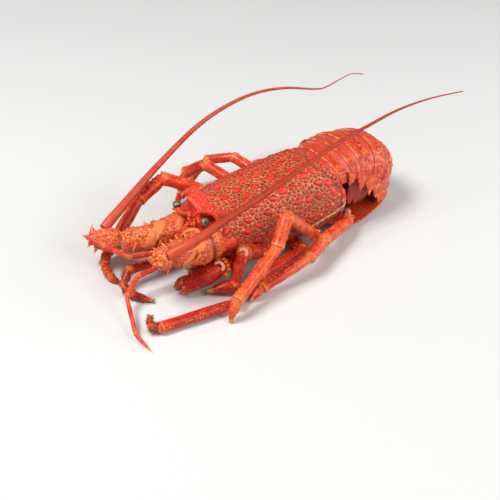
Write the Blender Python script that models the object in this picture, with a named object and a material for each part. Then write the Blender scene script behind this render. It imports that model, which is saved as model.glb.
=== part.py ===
"""A cooked crayfish (spiny rock lobster), lying on its breast with its tail curled under.

Metres, +Z up. The head faces -Y and the animal's left side is +X. The origin is on the flat
of the breast, which rests on the table at Z = 0. Sizes below are written in millimetres.
"""

import math

import bmesh
import bpy
from mathutils import Matrix, Vector

MM = 0.001
GAP = 0.3  # between neighbouring pieces, so that each stays a solid of its own

# Driving dimensions of the shell, along the body axis from the brow to the tail.
BROW_Y = -58.0
CARAPACE_END_Y = 42.0
CARAPACE_HALF_WIDTH = 31.5
CARAPACE_HEIGHT = 58.0
WIDEST_Z = 22.0
BREAST_HALF_WIDTH = 17.0

SHELL_RED = (0.62, 0.09, 0.05, 1.0)
TAIL_RED = (0.72, 0.14, 0.08, 1.0)
LEG_RED = (0.75, 0.15, 0.07, 1.0)
FEELER_RED = (0.58, 0.12, 0.08, 1.0)
EYE_BROWN = (0.10, 0.07, 0.04, 1.0)


# ---------------------------------------------------------------- shared modelling steps


def clear_scene():
    for thing in list(bpy.data.objects):
        bpy.data.objects.remove(thing)


def shell_material(name, colour, roughness):
    material = bpy.data.materials.new(name)
    material.use_nodes = True
    surface = material.node_tree.nodes["Principled BSDF"]
    surface.inputs["Base Color"].default_value = colour
    surface.inputs["Roughness"].default_value = roughness
    surface.inputs["Metallic"].default_value = 0.0
    return material


def catmull(points, t):
    """The point at t, from 0 to 1, of a smooth curve through the points (tuples of numbers)."""
    spans = len(points) - 1
    place = min(max(t, 0.0), 1.0) * spans
    i = min(int(place), spans - 1)
    u = place - i
    before = points[max(i - 1, 0)]
    start, end = points[i], points[i + 1]
    after = points[min(i + 2, spans)]
    place_at_u = []
    for a, b, c, d in zip(before, start, end, after):
        bend = (2 * a - 5 * b + 4 * c - d) * u**2 + (3 * b - a - 3 * c + d) * u**3
        place_at_u.append(0.5 * (2 * b + (c - a) * u + bend))
    return tuple(place_at_u)


def mirrored(points):
    """The same points on the other side of the body: x comes first in each."""
    return [(-p[0], *p[1:]) for p in points]


def closed_loft(rings):
    """A closed bmesh through rings of equal length, with an n-gon at each end."""
    bm = bmesh.new()
    loops = [[bm.verts.new(Vector(p) * MM) for p in ring] for ring in rings]
    for near, far in zip(loops, loops[1:]):
        for i, corner in enumerate(near):
            j = (i + 1) % len(near)
            bm.faces.new((corner, near[j], far[j], far[i]))
    bm.faces.new(reversed(loops[0]))
    bm.faces.new(loops[-1])
    bmesh.ops.recalc_face_normals(bm, faces=bm.faces)
    return bm


def tube(stations, sides=8, up=(0.0, 0.0, 1.0)):
    """A closed tube along (x, y, z, half width, half height) stations."""
    places = [Vector(s[:3]) for s in stations]
    rings = []
    for i, (x, y, z, wide, high) in enumerate(stations):
        ahead = (places[min(i + 1, len(places) - 1)] - places[max(i - 1, 0)]).normalized()
        side = ahead.cross(Vector(up)).normalized()
        top = side.cross(ahead)
        turns = [2 * math.pi * k / sides for k in range(sides)]
        centre = Vector((x, y, z))
        rings.append([centre + side * wide * math.cos(a) + top * high * math.sin(a) for a in turns])
    return closed_loft(rings)


def taper(points, radii, sides=6, up=(0.0, 0.0, 1.0)):
    """A tube through points with one radius at each, such as a spine or a feeler."""
    return tube([(*p, r, r) for p, r in zip(points, radii)], sides, up)


def ball(centre, radii, segments=12):
    bm = bmesh.new()
    bmesh.ops.create_uvsphere(bm, u_segments=segments, v_segments=segments // 2 + 2, radius=1.0)
    stretch = Matrix.Diagonal((*(r * MM for r in radii), 1.0))
    bmesh.ops.transform(bm, matrix=Matrix.Translation(Vector(centre) * MM) @ stretch, verts=bm.verts)
    return bm


def to_object(name, bm, material=None):
    mesh = bpy.data.meshes.new(name)
    bm.to_mesh(mesh)
    bm.free()
    if material:
        mesh.materials.append(material)
        mesh.shade_smooth()
        mesh.set_sharp_from_angle(angle=math.radians(50))
    piece = bpy.data.objects.new(name, mesh)
    bpy.context.scene.collection.objects.link(piece)
    return piece


def apply_boolean(target, others, operation):
    """Joins or cuts target with the other objects, then removes them."""
    helpers = bpy.data.collections.new("helpers")
    bpy.context.scene.collection.children.link(helpers)
    for other in others:
        bpy.context.scene.collection.objects.unlink(other)
        helpers.objects.link(other)
    boolean = target.modifiers.new("boolean", "BOOLEAN")
    boolean.operation = operation
    boolean.operand_type = "COLLECTION"
    boolean.collection = helpers
    boolean.solver = "MANIFOLD" if operation == "UNION" else "EXACT"
    with bpy.context.temp_override(object=target, active_object=target):
        bpy.ops.object.modifier_apply(modifier=boolean.name)
    for other in others:
        bpy.data.objects.remove(other)
    bpy.data.collections.remove(helpers)
    return target


def keep_largest(piece):
    """Drops the loose scraps that a cut leaves."""
    bm = bmesh.new()
    bm.from_mesh(piece.data)
    bmesh.ops.remove_doubles(bm, verts=bm.verts, dist=0.02 * MM)
    bmesh.ops.dissolve_degenerate(bm, edges=bm.edges, dist=0.02 * MM)
    unseen = set(bm.faces)
    islands = []
    while unseen:
        first = unseen.pop()
        island, waiting = {first}, [first]
        while waiting:
            for edge in waiting.pop().edges:
                for face in edge.link_faces:
                    if len(edge.link_faces) == 2 and face in unseen:
                        unseen.remove(face)
                        island.add(face)
                        waiting.append(face)
        islands.append(island)
    largest = max(islands, key=lambda island: sum(face.calc_area() for face in island))
    bmesh.ops.delete(bm, geom=[face for face in bm.faces if face not in largest], context="FACES")
    bmesh.ops.triangulate(bm, faces=bm.faces)
    bm.to_mesh(piece.data)
    bm.free()


def fuse(name, shapes, material):
    """One solid from several overlapping bmeshes."""
    pieces = [to_object(f"{name}_{i}", bm) for i, bm in enumerate(shapes)]
    body = pieces[0]
    if len(pieces) > 1:
        apply_boolean(body, pieces[1:], "UNION")
    body.name = name
    body.data.name = name
    body.data.materials.clear()
    body.data.materials.append(material)
    body.data.shade_smooth()
    body.data.set_sharp_from_angle(angle=math.radians(50))
    return body


def keep_clear(piece, neighbours, swell=2.0 * GAP):
    """Cuts slightly swollen copies of the neighbours out of a piece."""
    cutters = []
    for neighbour in neighbours:
        bm = bmesh.new()
        bm.from_mesh(neighbour.data)
        bm.normal_update()
        moves = [(vert, vert.normal * swell * MM) for vert in bm.verts]
        for vert, move in moves:
            vert.co += move
        cutters.append(to_object(f"{neighbour.name}_swollen", bm))
    apply_boolean(piece, cutters, "DIFFERENCE")
    keep_largest(piece)


def carve(piece, shapes):
    """Cuts shapes out of a piece, so that it stands clear of what they stand for."""
    apply_boolean(piece, [to_object(f"cutter_{i}", bm) for i, bm in enumerate(shapes)], "DIFFERENCE")
    keep_largest(piece)


# ---------------------------------------------------------------- carapace, the body shell

# y, half width, top, and half width of the breast on which the body lies
CARAPACE_PROFILE = [
    (BROW_Y, 21.0, 48.0, 10.0),
    (-50.0, 25.0, 50.8, 13.0),
    (-36.0, 28.5, 53.0, 15.5),
    (-16.0, 30.5, 55.0, BREAST_HALF_WIDTH),
    (8.0, CARAPACE_HALF_WIDTH, 56.5, BREAST_HALF_WIDTH),
    (28.0, 31.0, CARAPACE_HEIGHT, BREAST_HALF_WIDTH),
    (CARAPACE_END_Y, 30.0, 56.0, 16.0),
]
SECTION_POINTS = 28
REAR_SIDES_BACK = 10.5  # how far the sides of the rear edge reach back past its middle
NECK_SLOPE = 24.0  # length of shell over which that shift grows


def body_section(half_width, top, breast):
    """x, z of the shell's outline: a dome above its widest line and a flat breast below."""
    outline = []
    for k in range(SECTION_POINTS):
        a = 2 * math.pi * (k + 0.5) / SECTION_POINTS - math.pi / 2
        c, s = math.cos(a), math.sin(a)
        if s >= 0:
            x = half_width * math.copysign(abs(c) ** 0.92, c)
            z = WIDEST_Z + (top - WIDEST_Z) * s**0.96
        else:
            narrow = min(1.0, -s * 1.35)
            reach = half_width + (breast - half_width) * narrow**2.2
            x = reach * math.copysign(abs(c) ** 0.55, c)
            z = WIDEST_Z * (1 - min(1.0, -s * 1.16))
        outline.append((x, z))
    return outline


def rear_shift(x, z):
    """The rear edge is hollow over the back, reaches back at the sides and in again below."""
    if z > WIDEST_Z + 8:
        return REAR_SIDES_BACK * min(1.0, abs(x) / 29.0) ** 2.6
    return REAR_SIDES_BACK * (1 - 0.75 * ((WIDEST_Z + 8 - z) / (WIDEST_Z + 8)) ** 1.3)


def body_rings(steps=12):
    rings = []
    for i in range(steps + 1):
        y, half_width, top, breast = catmull(CARAPACE_PROFILE, i / steps)
        share = max(0.0, (y - CARAPACE_END_Y + NECK_SLOPE) / NECK_SLOPE)
        section = body_section(half_width, top, breast)
        rings.append([(x, y + share * rear_shift(x, z), z) for x, z in section])
    return rings


def carapace_spines():
    """Brow horns over the eyes, the plate between them, socket ridges and cheek spines."""
    horn_left = [
        (14.0, -46.0, 45.0, 3.2, 3.2), (14.6, -52.0, 48.5, 3.0, 2.8), (14.2, -57.0, 51.0, 2.4, 2.1),
        (12.4, -61.5, 52.8, 1.8, 1.7), (10.2, -66.5, 52.6, 1.1, 1.3), (8.9, -69.4, 49.8, 0.3, 0.3),
    ]
    horn_right = [
        (-13.5, -46.0, 45.0, 3.4, 3.4), (-13.2, -52.0, 49.4, 3.6, 3.8), (-12.5, -57.0, 52.0, 3.0, 3.0),
        (-11.2, -61.0, 53.6, 2.0, 2.1), (-9.8, -65.8, 53.8, 0.3, 0.3),
    ]
    brow_plate = [
        (0.0, -48.0, 46.0, 12.0, 3.0), (0.0, -56.0, 49.8, 11.0, 3.0), (0.0, -60.5, 51.0, 9.4, 1.9),
        (0.0, -62.8, 50.6, 8.0, 0.6),
    ]
    ridge = [(12.6, -59.4, 52.1), (17.3, -56.2, 49.1), (20.2, -54.8, 43.0)]
    cheek = [(21.5, -48.0, 28.0), (23.5, -55.0, 28.0), (24.0, -60.0, 27.0)]
    shapes = [tube(horn_left), tube(horn_right), tube(brow_plate, 10)]
    for side in (list, mirrored):
        shapes.append(taper(side(ridge), [1.3, 1.6, 1.2], 6))
        shapes.append(taper(side(cheek), [6.0, 3.6, 0.4], 6))
    return shapes


def face_plate():
    """The block below the brow that carries the feelers, over the mouth parts."""
    stations = [
        (0.0, -50.0, 24.0, 12.0, 15.0),
        (0.0, -62.0, 25.0, 6.5, 12.0),
        (0.0, -69.0, 28.0, 4.5, 8.0),
        (0.0, -73.0, 29.0, 3.0, 4.0),
    ]
    return tube(stations, 10)


def build_carapace(material):
    rings = body_rings()
    snout = [(x * 0.82, BROW_Y - 3.5, 25.0 + (z - 25.0) * 0.85) for x, _, z in rings[0]]
    rear_wall = [(x * 0.5, (y + CARAPACE_END_Y) / 2, 28.0 + (z - 28.0) * 0.5) for x, y, z in rings[-1]]
    shell = closed_loft([snout, *rings, rear_wall])
    carapace = fuse("carapace", [shell, *carapace_spines(), face_plate()], material)
    orbits = [ball((side * 13.0, -62.0, 44.5), (8.5, 13.0, 6.2)) for side in (1, -1)]
    carve(carapace, orbits)
    return carapace


# ---------------------------------------------------------------- tail rings and fan

# Edges of the tail rings: y, z on the back, y, z at the sides where the lobes hang, half width
RING_EDGES = [
    (41.0, 52.5, 47.0, 39.0, 25.0),
    (54.0, 55.5, 54.5, 42.5, 26.3),
    (64.5, 57.5, 63.0, 42.5, 28.0),
    (76.0, 58.6, 70.5, 39.0, 29.2),
    (101.5, 53.0, 79.5, 33.5, 29.8),
    (115.5, 36.0, 87.5, 25.0, 28.5),
    (112.0, 11.0, 96.0, 10.0, 25.5),
]
# Tip of each side lobe: ring number, x, y, z
SIDE_LOBES = {
    2: (26.5, 56.5, 38.5),
    3: (30.0, 65.0, 32.0),
    4: (29.5, 76.0, 24.5),
    5: (28.5, 84.5, 18.5),
    6: (26.5, 91.5, 10.0),
}
# Tip of the soft leaf below each side of a ring: ring number, x, y, z
SWIMMERETS = {
    3: (24.0, 61.5, 19.0),
    4: (22.5, 69.5, 15.5),
    5: (20.0, 77.0, 13.5),
}
RING_POINTS = 16
BELLY_SAG = 6.5
BELLY_LINE = [(-0.8, 0.5), (-0.4, 1.0), (0.4, 1.0), (0.8, 0.5)]
RING_CLEARANCE = 0.02


def ring_section(place, shrink=0.0):
    """The outline of the tail at a place counted in ring edges: an arch over a soft belly."""
    back_y, back_z, side_y, side_z, half_width = catmull(RING_EDGES, place / 6)
    foot = Vector((0.0, side_y, side_z))
    rise = Vector((0.0, back_y, back_z)) - foot
    rise -= rise.normalized() * shrink
    half_width -= shrink
    arch = []
    for k in range(RING_POINTS + 1):
        a = math.pi * k / RING_POINTS
        x = half_width * math.copysign(abs(math.cos(a)) ** 0.9, math.cos(a))
        arch.append(foot + rise * math.sin(a) ** 0.95 + Vector((x, 0.0, 0.0)))
    sag = rise.normalized() * -BELLY_SAG
    belly = [foot + sag * share + Vector((half_width * x, 0.0, 0.0)) for x, share in BELLY_LINE]
    return arch + belly


def side_lobe(index, side):
    """The pointed lobe that hangs from the side of a ring."""
    _, _, y0, z0, half_width = catmull(RING_EDGES, (index - 0.42) / 6)
    x, y1, z1 = SIDE_LOBES[index]
    root, tip = Vector((half_width - 3.0, y0, z0 + 3.0)), Vector((x, y1, z1))
    reach = 3.9 if index < 4 else 4.5
    stations = []
    for t, wide in [(0.0, 1.0), (0.35, 0.95), (0.7, 0.6), (1.0, 0.08)]:
        spot = root.lerp(tip, t) + Vector((0.8 * math.sin(math.pi * t), 0.0, 0.0))
        stations.append((side * spot.x, spot.y, spot.z, reach * wide, 2.0 - 1.4 * t))
    return tube(stations, 6, (1.0, 0.0, 0.0))


def swimmeret(index, side):
    """The soft leaf that hangs below the side of a ring."""
    _, _, y0, z0, half_width = catmull(RING_EDGES, (index - 0.45) / 6)
    root, tip = Vector((half_width - 7.5, y0, z0 + 0.5)), Vector(SWIMMERETS[index])
    stations = []
    for t, wide in [(0.0, 0.6), (0.35, 0.95), (0.75, 0.9), (1.0, 0.2)]:
        spot = root.lerp(tip, t)
        stations.append((side * spot.x, spot.y, spot.z, 3.4 * wide, 1.2 - 0.4 * t))
    return tube(stations, 6, (1.0, 0.0, 0.0))


def build_ring(index, before, material):
    """A smooth front band, then a raised rear part that overhangs the next ring."""
    start, end = index - 1 + RING_CLEARANCE, index - RING_CLEARANCE
    span = end - start
    stations = [
        ring_section(start, 1.8),
        ring_section(start + 0.35 * span, 1.2),
        ring_section(start + 0.45 * span, 0.2),
        ring_section(start + 0.75 * span, 0.0),
        ring_section(end, 0.3),
    ]
    shapes = [closed_loft(stations)]
    if index in SIDE_LOBES:
        shapes += [side_lobe(index, 1), side_lobe(index, -1)]
    ring = fuse(f"tail_ring_{index}", shapes, material)
    keep_clear(ring, [before])
    return ring


def hang_swimmerets(rings):
    """Joins the soft leaves to their rings, clear of the rings behind them."""
    for index in SWIMMERETS:
        leaves = [to_object(f"swimmeret_{index}", swimmeret(index, side)) for side in (1, -1)]
        for leaf in leaves:
            keep_clear(leaf, [rings[index + 1]])
        apply_boolean(rings[index], leaves, "UNION")


def fan_blade(name, spine, thickness, material):
    """One leaf of the tail fan along (x, y, z, half width) stations."""
    stations = []
    steps = 7
    for i in range(steps + 1):
        x, y, z, wide = catmull(spine, i / steps)
        stations.append((x, y, z, wide, thickness * (1 - 0.45 * i / steps)))
    return to_object(name, tube(stations, 10), material)


def build_fan(material):
    middle = [
        (0, 108, 4.4, 7.0), (0, 92, 2.6, 9.0), (0, 72, 1.4, 11.0), (0, 56, 1.4, 11.0),
        (0, 49, 1.4, 6.0),
    ]
    inner = [
        (10, 107, 6.6, 4.5), (13, 92, 4.9, 7.5), (15.5, 72, 3.6, 9.5), (17, 58, 3.6, 9.0),
        (17.5, 50, 3.6, 4.5),
    ]
    outer = [
        (17, 104, 8.6, 4.5), (19.5, 92, 7.0, 7.5), (22, 72, 5.8, 9.5), (23.5, 60, 5.8, 8.5),
        (24, 52, 5.8, 4.5),
    ]
    fan_blade("tail_fan_middle", middle, 1.2, material)
    fan_blade("tail_fan_inner_left", inner, 0.8, material)
    fan_blade("tail_fan_inner_right", mirrored(inner), 0.8, material)
    fan_blade("tail_fan_outer_left", outer, 1.0, material)
    fan_blade("tail_fan_outer_right", mirrored(outer), 1.0, material)


# ---------------------------------------------------------------- legs


def limb_part(start, end, last):
    """One hard segment of a limb between two joints, each (x, y, z, radius), knobbed at its end."""
    a, b = Vector(start[:3]), Vector(end[:3])
    r = start[3]
    length = (b - a).length
    cap = min(0.5 * r / length, 0.2)
    shape = [(-cap * 0.5, 0.55), (0.04, 0.86), (0.4, 1.0), (0.82, 0.92), (0.96, 1.04), (1.0 + cap, 0.55)]
    if last:
        shape = [(-cap * 0.5, 0.7), (0.3, 1.0), (0.85, 0.45), (1.0, 0.12)]
    stations = [(*a.lerp(b, t), r * share, r * share) for t, share in shape]
    along = (b - a).normalized()
    up = (0.3, 0.1, 1.0) if abs(along.z) < 0.9 else (1.0, 0.0, 0.0)
    return tube(stations, 6 if last else 7, up)


def build_leg(name, joints, carapace, material):
    """Joints from the hip to the tip of the claw, each (x, y, z, radius of the part beyond it)."""
    shapes = []
    for i, (near, far) in enumerate(zip(joints, joints[1:])):
        shapes.append(limb_part(near, far, i == len(joints) - 2))
    leg = fuse(name, shapes, material)
    keep_clear(leg, [carapace])
    return leg


LEFT_LEGS = {
    1: [
        (17, -34, 10, 5), (26, -45, 13, 4.3), (30, -59.4, 17, 6.4), (23, -86, 6.8, 4.4),
        (19.5, -87.5, 9.5, 2.6), (24, -76, 14, 2.2),
    ],
    2: [
        (18, -16, 10, 5), (30, -22, 15, 5.5), (34.7, -45.9, 26, 4.1), (39.6, -56, 7, 4.2),
        (32.5, -73, 3.7, 1.6),
    ],
    3: [
        (18, 6, 9, 5), (37, 8, 7, 5), (42, -36.5, 5.2, 4.2), (53.6, -66, 5, 3.9),
        (45, -120, 4.3, 2.8), (41, -125, 6, 2.2), (38, -122, 11, 1),
    ],
    4: [
        (18, 24, 10, 4.5), (35.7, 20.4, 14, 4.2), (40.4, -15.5, 47.5, 4.8),
        (48, -27.7, 32, 4.2), (60.6, -70.7, 14, 3.5), (63.2, -77.2, 0.7, 1),
    ],
    5: [
        (18, 44, 10, 4.5), (33, 55, 12.3, 4.6), (45.7, 17.7, 17, 4.4),
        (54.4, -3.3, 16, 3.6), (53, -42.3, 6.3, 2.6), (54.4, -53.3, 1.6, 1),
    ],
}
RIGHT_LEGS = {
    1: [
        (-17, -34, 10, 5), (-35.6, -29.7, 31, 5), (-52.3, -51, 38.6, 4.8),
        (-48.6, -73.3, 30.5, 4.4), (-33.5, -109, 9.3, 3.2), (-27.5, -115.5, 5, 2.6),
        (-15.5, -117.5, 3, 2.3), (-9.8, -114, 0.8, 1),
    ],
    2: [
        (-18, -10, 10, 4.5), (-34, 0, 27, 4.4), (-57.4, -9.3, 33, 4.5), (-70, -18, 22, 3),
        (-64.6, -25, 11, 2.4), (-62.9, -30.4, 0.7, 1),
    ],
    3: [
        (-18, 8, 10, 4.5), (-34, 22, 28, 4.2), (-57, 16.6, 31, 3.8), (-73, 3.7, 24, 2.8),
        (-76, -7, 9, 2.2), (-75, -13, 0.7, 1),
    ],
    4: [
        (-18, 26, 10, 4.5), (-33, 28, 12, 4.2), (-51, 34, 22, 3.8), (-55, 54, 14, 3),
        (-50, 76, 5, 2.3), (-47, 84, 0.7, 1),
    ],
    5: [
        (-18, 43, 10, 4.2), (-31.5, 54.5, 12.3, 4), (-41, 68, 13, 3.5), (-43, 84, 9, 2.8),
        (-39, 101, 4, 2.2), (-36, 108, 0.7, 1),
    ],
}


def build_legs(carapace, material):
    for side, legs in (("left", LEFT_LEGS), ("right", RIGHT_LEGS)):
        for number, joints in legs.items():
            build_leg(f"leg_{side}_{number}", joints, carapace, material)


# ---------------------------------------------------------------- feelers, eyes and mouth parts

# x, y, z, half width and half height of the three stout joints that carry a long feeler
BASE_LEFT = [
    (15.0, -57.0, 27.0, 9.0, 9.5),
    (17.0, -62.0, 28.5, 11.5, 12.0),
    (17.5, -74.0, 30.0, 11.0, 11.0),
    (17.5, -78.0, 31.0, 8.2, 8.6),
    (18.0, -84.0, 32.5, 8.8, 9.0),
    (19.0, -91.0, 34.0, 8.0, 8.4),
    (19.3, -94.0, 34.5, 6.6, 7.0),
    (19.8, -102.0, 35.0, 7.2, 7.4),
    (19.6, -106.5, 35.0, 4.0, 4.4),
]
BASE_RIGHT = [
    (-13.5, -57.0, 26.0, 8.0, 8.5),
    (-12.5, -66.0, 27.0, 9.0, 10.0),
    (-12.5, -78.0, 26.0, 8.6, 9.4),
    (-14.0, -84.0, 25.5, 8.8, 10.2),
    (-15.5, -91.0, 25.0, 8.2, 9.2),
    (-20.0, -99.0, 24.0, 8.0, 8.8),
    (-22.5, -102.5, 23.5, 6.8, 7.4),
    (-30.5, -110.5, 23.0, 7.6, 7.8),
    (-37.0, -117.0, 22.5, 4.4, 4.8),
]
# x, y, z and radius along the long feelers
WHIP_STEPS = 34
WHIP_LEFT = [
    (25.2, -100.2, 41.0, 3.6),
    (28.2, -90.4, 45.5, 3.4),
    (29.4, -75.0, 50.0, 3.0),
    (29.4, -55.1, 56.0, 2.6),
    (29.5, -27.4, 63.0, 2.2),
    (25.1, 10.8, 70.0, 1.8),
    (20.5, 51.5, 76.0, 1.4),
    (20.3, 71.4, 79.0, 1.2),
    (19.9, 102.9, 83.0, 0.9),
    (21.6, 134.5, 84.0, 0.6),
    (28.2, 163.0, 85.0, 0.4),
]
WHIP_RIGHT = [
    (-35.0, -110.0, 29.0, 3.7),
    (-37.0, -104.0, 32.0, 3.5),
    (-41.5, -91.5, 36.0, 3.2),
    (-49.2, -71.5, 42.0, 2.8),
    (-57.5, -49.5, 48.0, 2.3),
    (-69.2, -11.9, 58.0, 1.8),
    (-75.6, 19.1, 63.0, 1.5),
    (-76.6, 48.8, 66.0, 1.2),
    (-71.4, 74.6, 66.0, 1.0),
    (-63.0, 99.7, 62.0, 0.7),
    (-62.4, 111.9, 61.0, 0.6),
    (-66.5, 139.3, 62.0, 0.4),
    (-61.5, 150.0, 62.0, 0.4),
]


def base_spines(stations, along, turns, length):
    """Spines that point forward and outward from round the far rim of one joint."""
    x, y, z, wide, high = stations[along]
    ahead = (Vector(stations[along + 1][:3]) - Vector(stations[along - 1][:3])).normalized()
    side = ahead.cross(Vector((0.0, 0.0, 1.0))).normalized()
    top = side.cross(ahead)
    shapes = []
    for turn in turns:
        a = math.radians(turn)
        out = side * math.cos(a) + top * math.sin(a)
        root = Vector((x, y, z)) + side * wide * 0.75 * math.cos(a) + top * high * 0.75 * math.sin(a)
        tip = root + out * (length * 0.75) + ahead * length
        shapes.append(taper([root, tip], [2.3, 0.3], 5, (0.3, 0.2, 1.0)))
    return shapes


def build_antenna_base(name, stations, spines, whip, carapace, material):
    shapes = [tube(stations, 10)]
    for along, turns, length in spines:
        shapes += base_spines(stations, along, turns, length)
    base = fuse(name, shapes, material)
    socket = [catmull(whip, i / WHIP_STEPS) for i in range(6)]
    socket_radii = [p[3] + 1.4 * GAP for p in socket]
    start = Vector(socket[0][:3]) - (Vector(socket[1][:3]) - Vector(socket[0][:3])).normalized() * GAP
    whip_cutter = taper([start[:], *(p[:3] for p in socket[1:])], socket_radii, 7)
    carve(base, [whip_cutter])
    keep_clear(base, [carapace], 2.7 * GAP)
    return base


def build_whip(name, route, material):
    places = [catmull(route, i / WHIP_STEPS) for i in range(WHIP_STEPS + 1)]
    return to_object(name, taper([p[:3] for p in places], [p[3] for p in places], 7), material)


def build_jointed(name, joints, carapace, material):
    """A thin jointed limb such as a small feeler: rods with a knob at every joint."""
    shapes = [limb_part(a, b, i == len(joints) - 2) for i, (a, b) in enumerate(zip(joints, joints[1:]))]
    limb = fuse(name, shapes, material)
    keep_clear(limb, [carapace])
    return limb


ANTENNULE_LEFT = [
    (3, -70, 22, 1.9), (9.4, -93.6, 20, 1.9), (8.7, -112.8, 18, 1.9),
    (15.4, -125.3, 12, 1.5), (41.6, -135.4, 3.4, 1.2), (57.7, -134.2, 1.0, 1),
]
ANTENNULE_RIGHT = [
    (-3, -72, 21, 1.9), (-2.5, -92, 21, 1.8), (-5.3, -110.3, 24, 1.8),
    (-21.3, -120.1, 28.5, 1.3), (-36.3, -126.6, 30, 1),
]
MAXILLIPED_LEFT = [(10, -52, 8, 3.5), (21, -62, 14, 3.4), (13.4, -76, 10, 1)]
MAXILLIPED_RIGHT = [
    (-7, -54, 8, 3.5), (-4, -90, 12, 3.4), (-5.5, -110, 13, 2.8), (0, -118, 7, 2.8),
    (8, -116, 4, 2.6), (19, -106, 1.2, 1),
]


def build_eye(name, centre, carapace, material):
    """A ball on a stalk that comes out of the inner wall of its socket."""
    x, y, z = centre
    stalk = taper([(x * 0.3, -61.5, 41.5), (x * 0.7, y, z - 3.0), (x, y, z - 1.0)], [1.6, 1.8, 2.3], 8)
    eye = fuse(name, [ball(centre, (3.0, 3.0, 3.0)), stalk], material)
    keep_clear(eye, [carapace])


def main():
    clear_scene()
    shell = shell_material("carapace_shell", SHELL_RED, 0.45)
    tail = shell_material("tail_shell", TAIL_RED, 0.3)
    limb = shell_material("leg_shell", LEG_RED, 0.35)
    feeler = shell_material("feeler_shell", FEELER_RED, 0.5)
    eye = shell_material("eye_surface", EYE_BROWN, 0.2)
    carapace = build_carapace(shell)
    rings = {0: carapace}
    for index in range(1, 7):
        rings[index] = build_ring(index, rings[index - 1], tail)
    hang_swimmerets(rings)
    build_fan(tail)
    build_legs(carapace, limb)
    left_spines = [(7, (60, 110, 160, 210, 330), 5.0), (5, (70, 120, 170), 4.5), (2, (60, 100), 4.0)]
    right_spines = [(7, (20, 70, 120, 170, 220, 320), 7.0), (5, (50, 110, 170), 5.0), (2, (80, 140), 4.0)]
    build_antenna_base("antenna_base_left", BASE_LEFT, left_spines, WHIP_LEFT, carapace, feeler)
    build_antenna_base("antenna_base_right", BASE_RIGHT, right_spines, WHIP_RIGHT, carapace, feeler)
    build_whip("antenna_whip_left", WHIP_LEFT, feeler)
    build_whip("antenna_whip_right", WHIP_RIGHT, feeler)
    build_jointed("antennule_left", ANTENNULE_LEFT, carapace, feeler)
    build_jointed("antennule_right", ANTENNULE_RIGHT, carapace, feeler)
    build_jointed("mouth_leg_left", MAXILLIPED_LEFT, carapace, limb)
    build_jointed("mouth_leg_right", MAXILLIPED_RIGHT, carapace, limb)
    build_eye("eye_left", (13.2, -62.6, 45.0), carapace, eye)
    build_eye("eye_right", (-13.4, -66.4, 44.7), carapace, eye)


main()
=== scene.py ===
"""Looks of a cooked crayfish: a spiny rock lobster, boiled whole, that lies on its breast.

Sizes are in millimetres in the frame of the solids. The head points to -Y, the back to +Z and
the animal's left side to +X.
"""

import math

import bpy
import numpy as np
from mathutils import Matrix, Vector
from mathutils.kdtree import KDTree


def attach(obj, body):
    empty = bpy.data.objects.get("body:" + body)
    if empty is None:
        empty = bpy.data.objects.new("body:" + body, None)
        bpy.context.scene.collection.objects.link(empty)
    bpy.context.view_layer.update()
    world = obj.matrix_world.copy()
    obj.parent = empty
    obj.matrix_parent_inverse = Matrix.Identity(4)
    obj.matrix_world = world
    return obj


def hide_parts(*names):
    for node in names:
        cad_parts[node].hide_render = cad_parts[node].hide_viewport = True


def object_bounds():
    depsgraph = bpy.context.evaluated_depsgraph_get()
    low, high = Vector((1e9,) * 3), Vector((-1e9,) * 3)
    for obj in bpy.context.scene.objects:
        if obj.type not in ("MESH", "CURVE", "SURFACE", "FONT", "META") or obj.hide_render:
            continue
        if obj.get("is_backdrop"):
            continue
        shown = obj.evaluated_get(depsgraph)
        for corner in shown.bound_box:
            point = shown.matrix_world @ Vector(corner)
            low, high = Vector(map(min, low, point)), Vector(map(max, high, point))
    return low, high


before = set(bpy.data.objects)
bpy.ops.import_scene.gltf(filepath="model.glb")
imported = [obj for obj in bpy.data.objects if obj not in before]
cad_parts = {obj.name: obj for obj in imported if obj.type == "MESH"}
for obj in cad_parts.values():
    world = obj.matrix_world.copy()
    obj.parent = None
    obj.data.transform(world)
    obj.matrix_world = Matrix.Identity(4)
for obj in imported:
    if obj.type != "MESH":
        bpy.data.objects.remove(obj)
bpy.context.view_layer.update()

# ---------------------------------------------------------------- body shell
# The carapace is one saddle of hard chitin over head and chest, boiled until it turns red.
# Low scales that point forward stand all over it, in a net of thin tan ridges with brown skin
# below. It rests on the breast, and its rear edge slides over the first tail ring.

MM = 0.001


def linear(colour):
    """An sRGB hex colour as linear RGBA."""
    values = [int(colour[i : i + 2], 16) / 255 for i in (0, 2, 4)]
    return (*[v / 12.92 if v <= 0.04045 else ((v + 0.055) / 1.055) ** 2.4 for v in values], 1.0)


def set_inputs(tree, node, inputs):
    """Links the inputs that come from another node, and sets a number or a hex colour."""
    for name, value in inputs.items():
        if isinstance(value, bpy.types.NodeSocket):
            tree.links.new(value, node.inputs[name])
        else:
            node.inputs[name].default_value = linear(value) if isinstance(value, str) else value


def add_node(tree, kind, inputs={}, stops=(), output=0, **settings):
    """Adds a node with its inputs, colour stops and settings. Returns one of its outputs."""
    node = tree.nodes.new(f"ShaderNode{kind}")
    for name, value in settings.items():
        setattr(node, name, value)
    set_inputs(tree, node, inputs)
    for i, (place, colour) in enumerate(stops):
        elements = node.color_ramp.elements
        stop = elements[i] if i < len(elements) else elements.new(place)
        stop.position = place
        stop.color = linear(colour)
    return node.outputs[output]


def new_material(name, *masks):
    """A material, its tree, the place on the object and the value of each mask of the mesh."""
    material = bpy.data.materials.new(name)
    material.use_nodes = True
    tree = material.node_tree
    place = add_node(tree, "TexCoord", output="Object")
    values = {mask: add_node(tree, "Attribute", output="Fac", attribute_name=mask) for mask in masks}
    return material, tree, place, values


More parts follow.
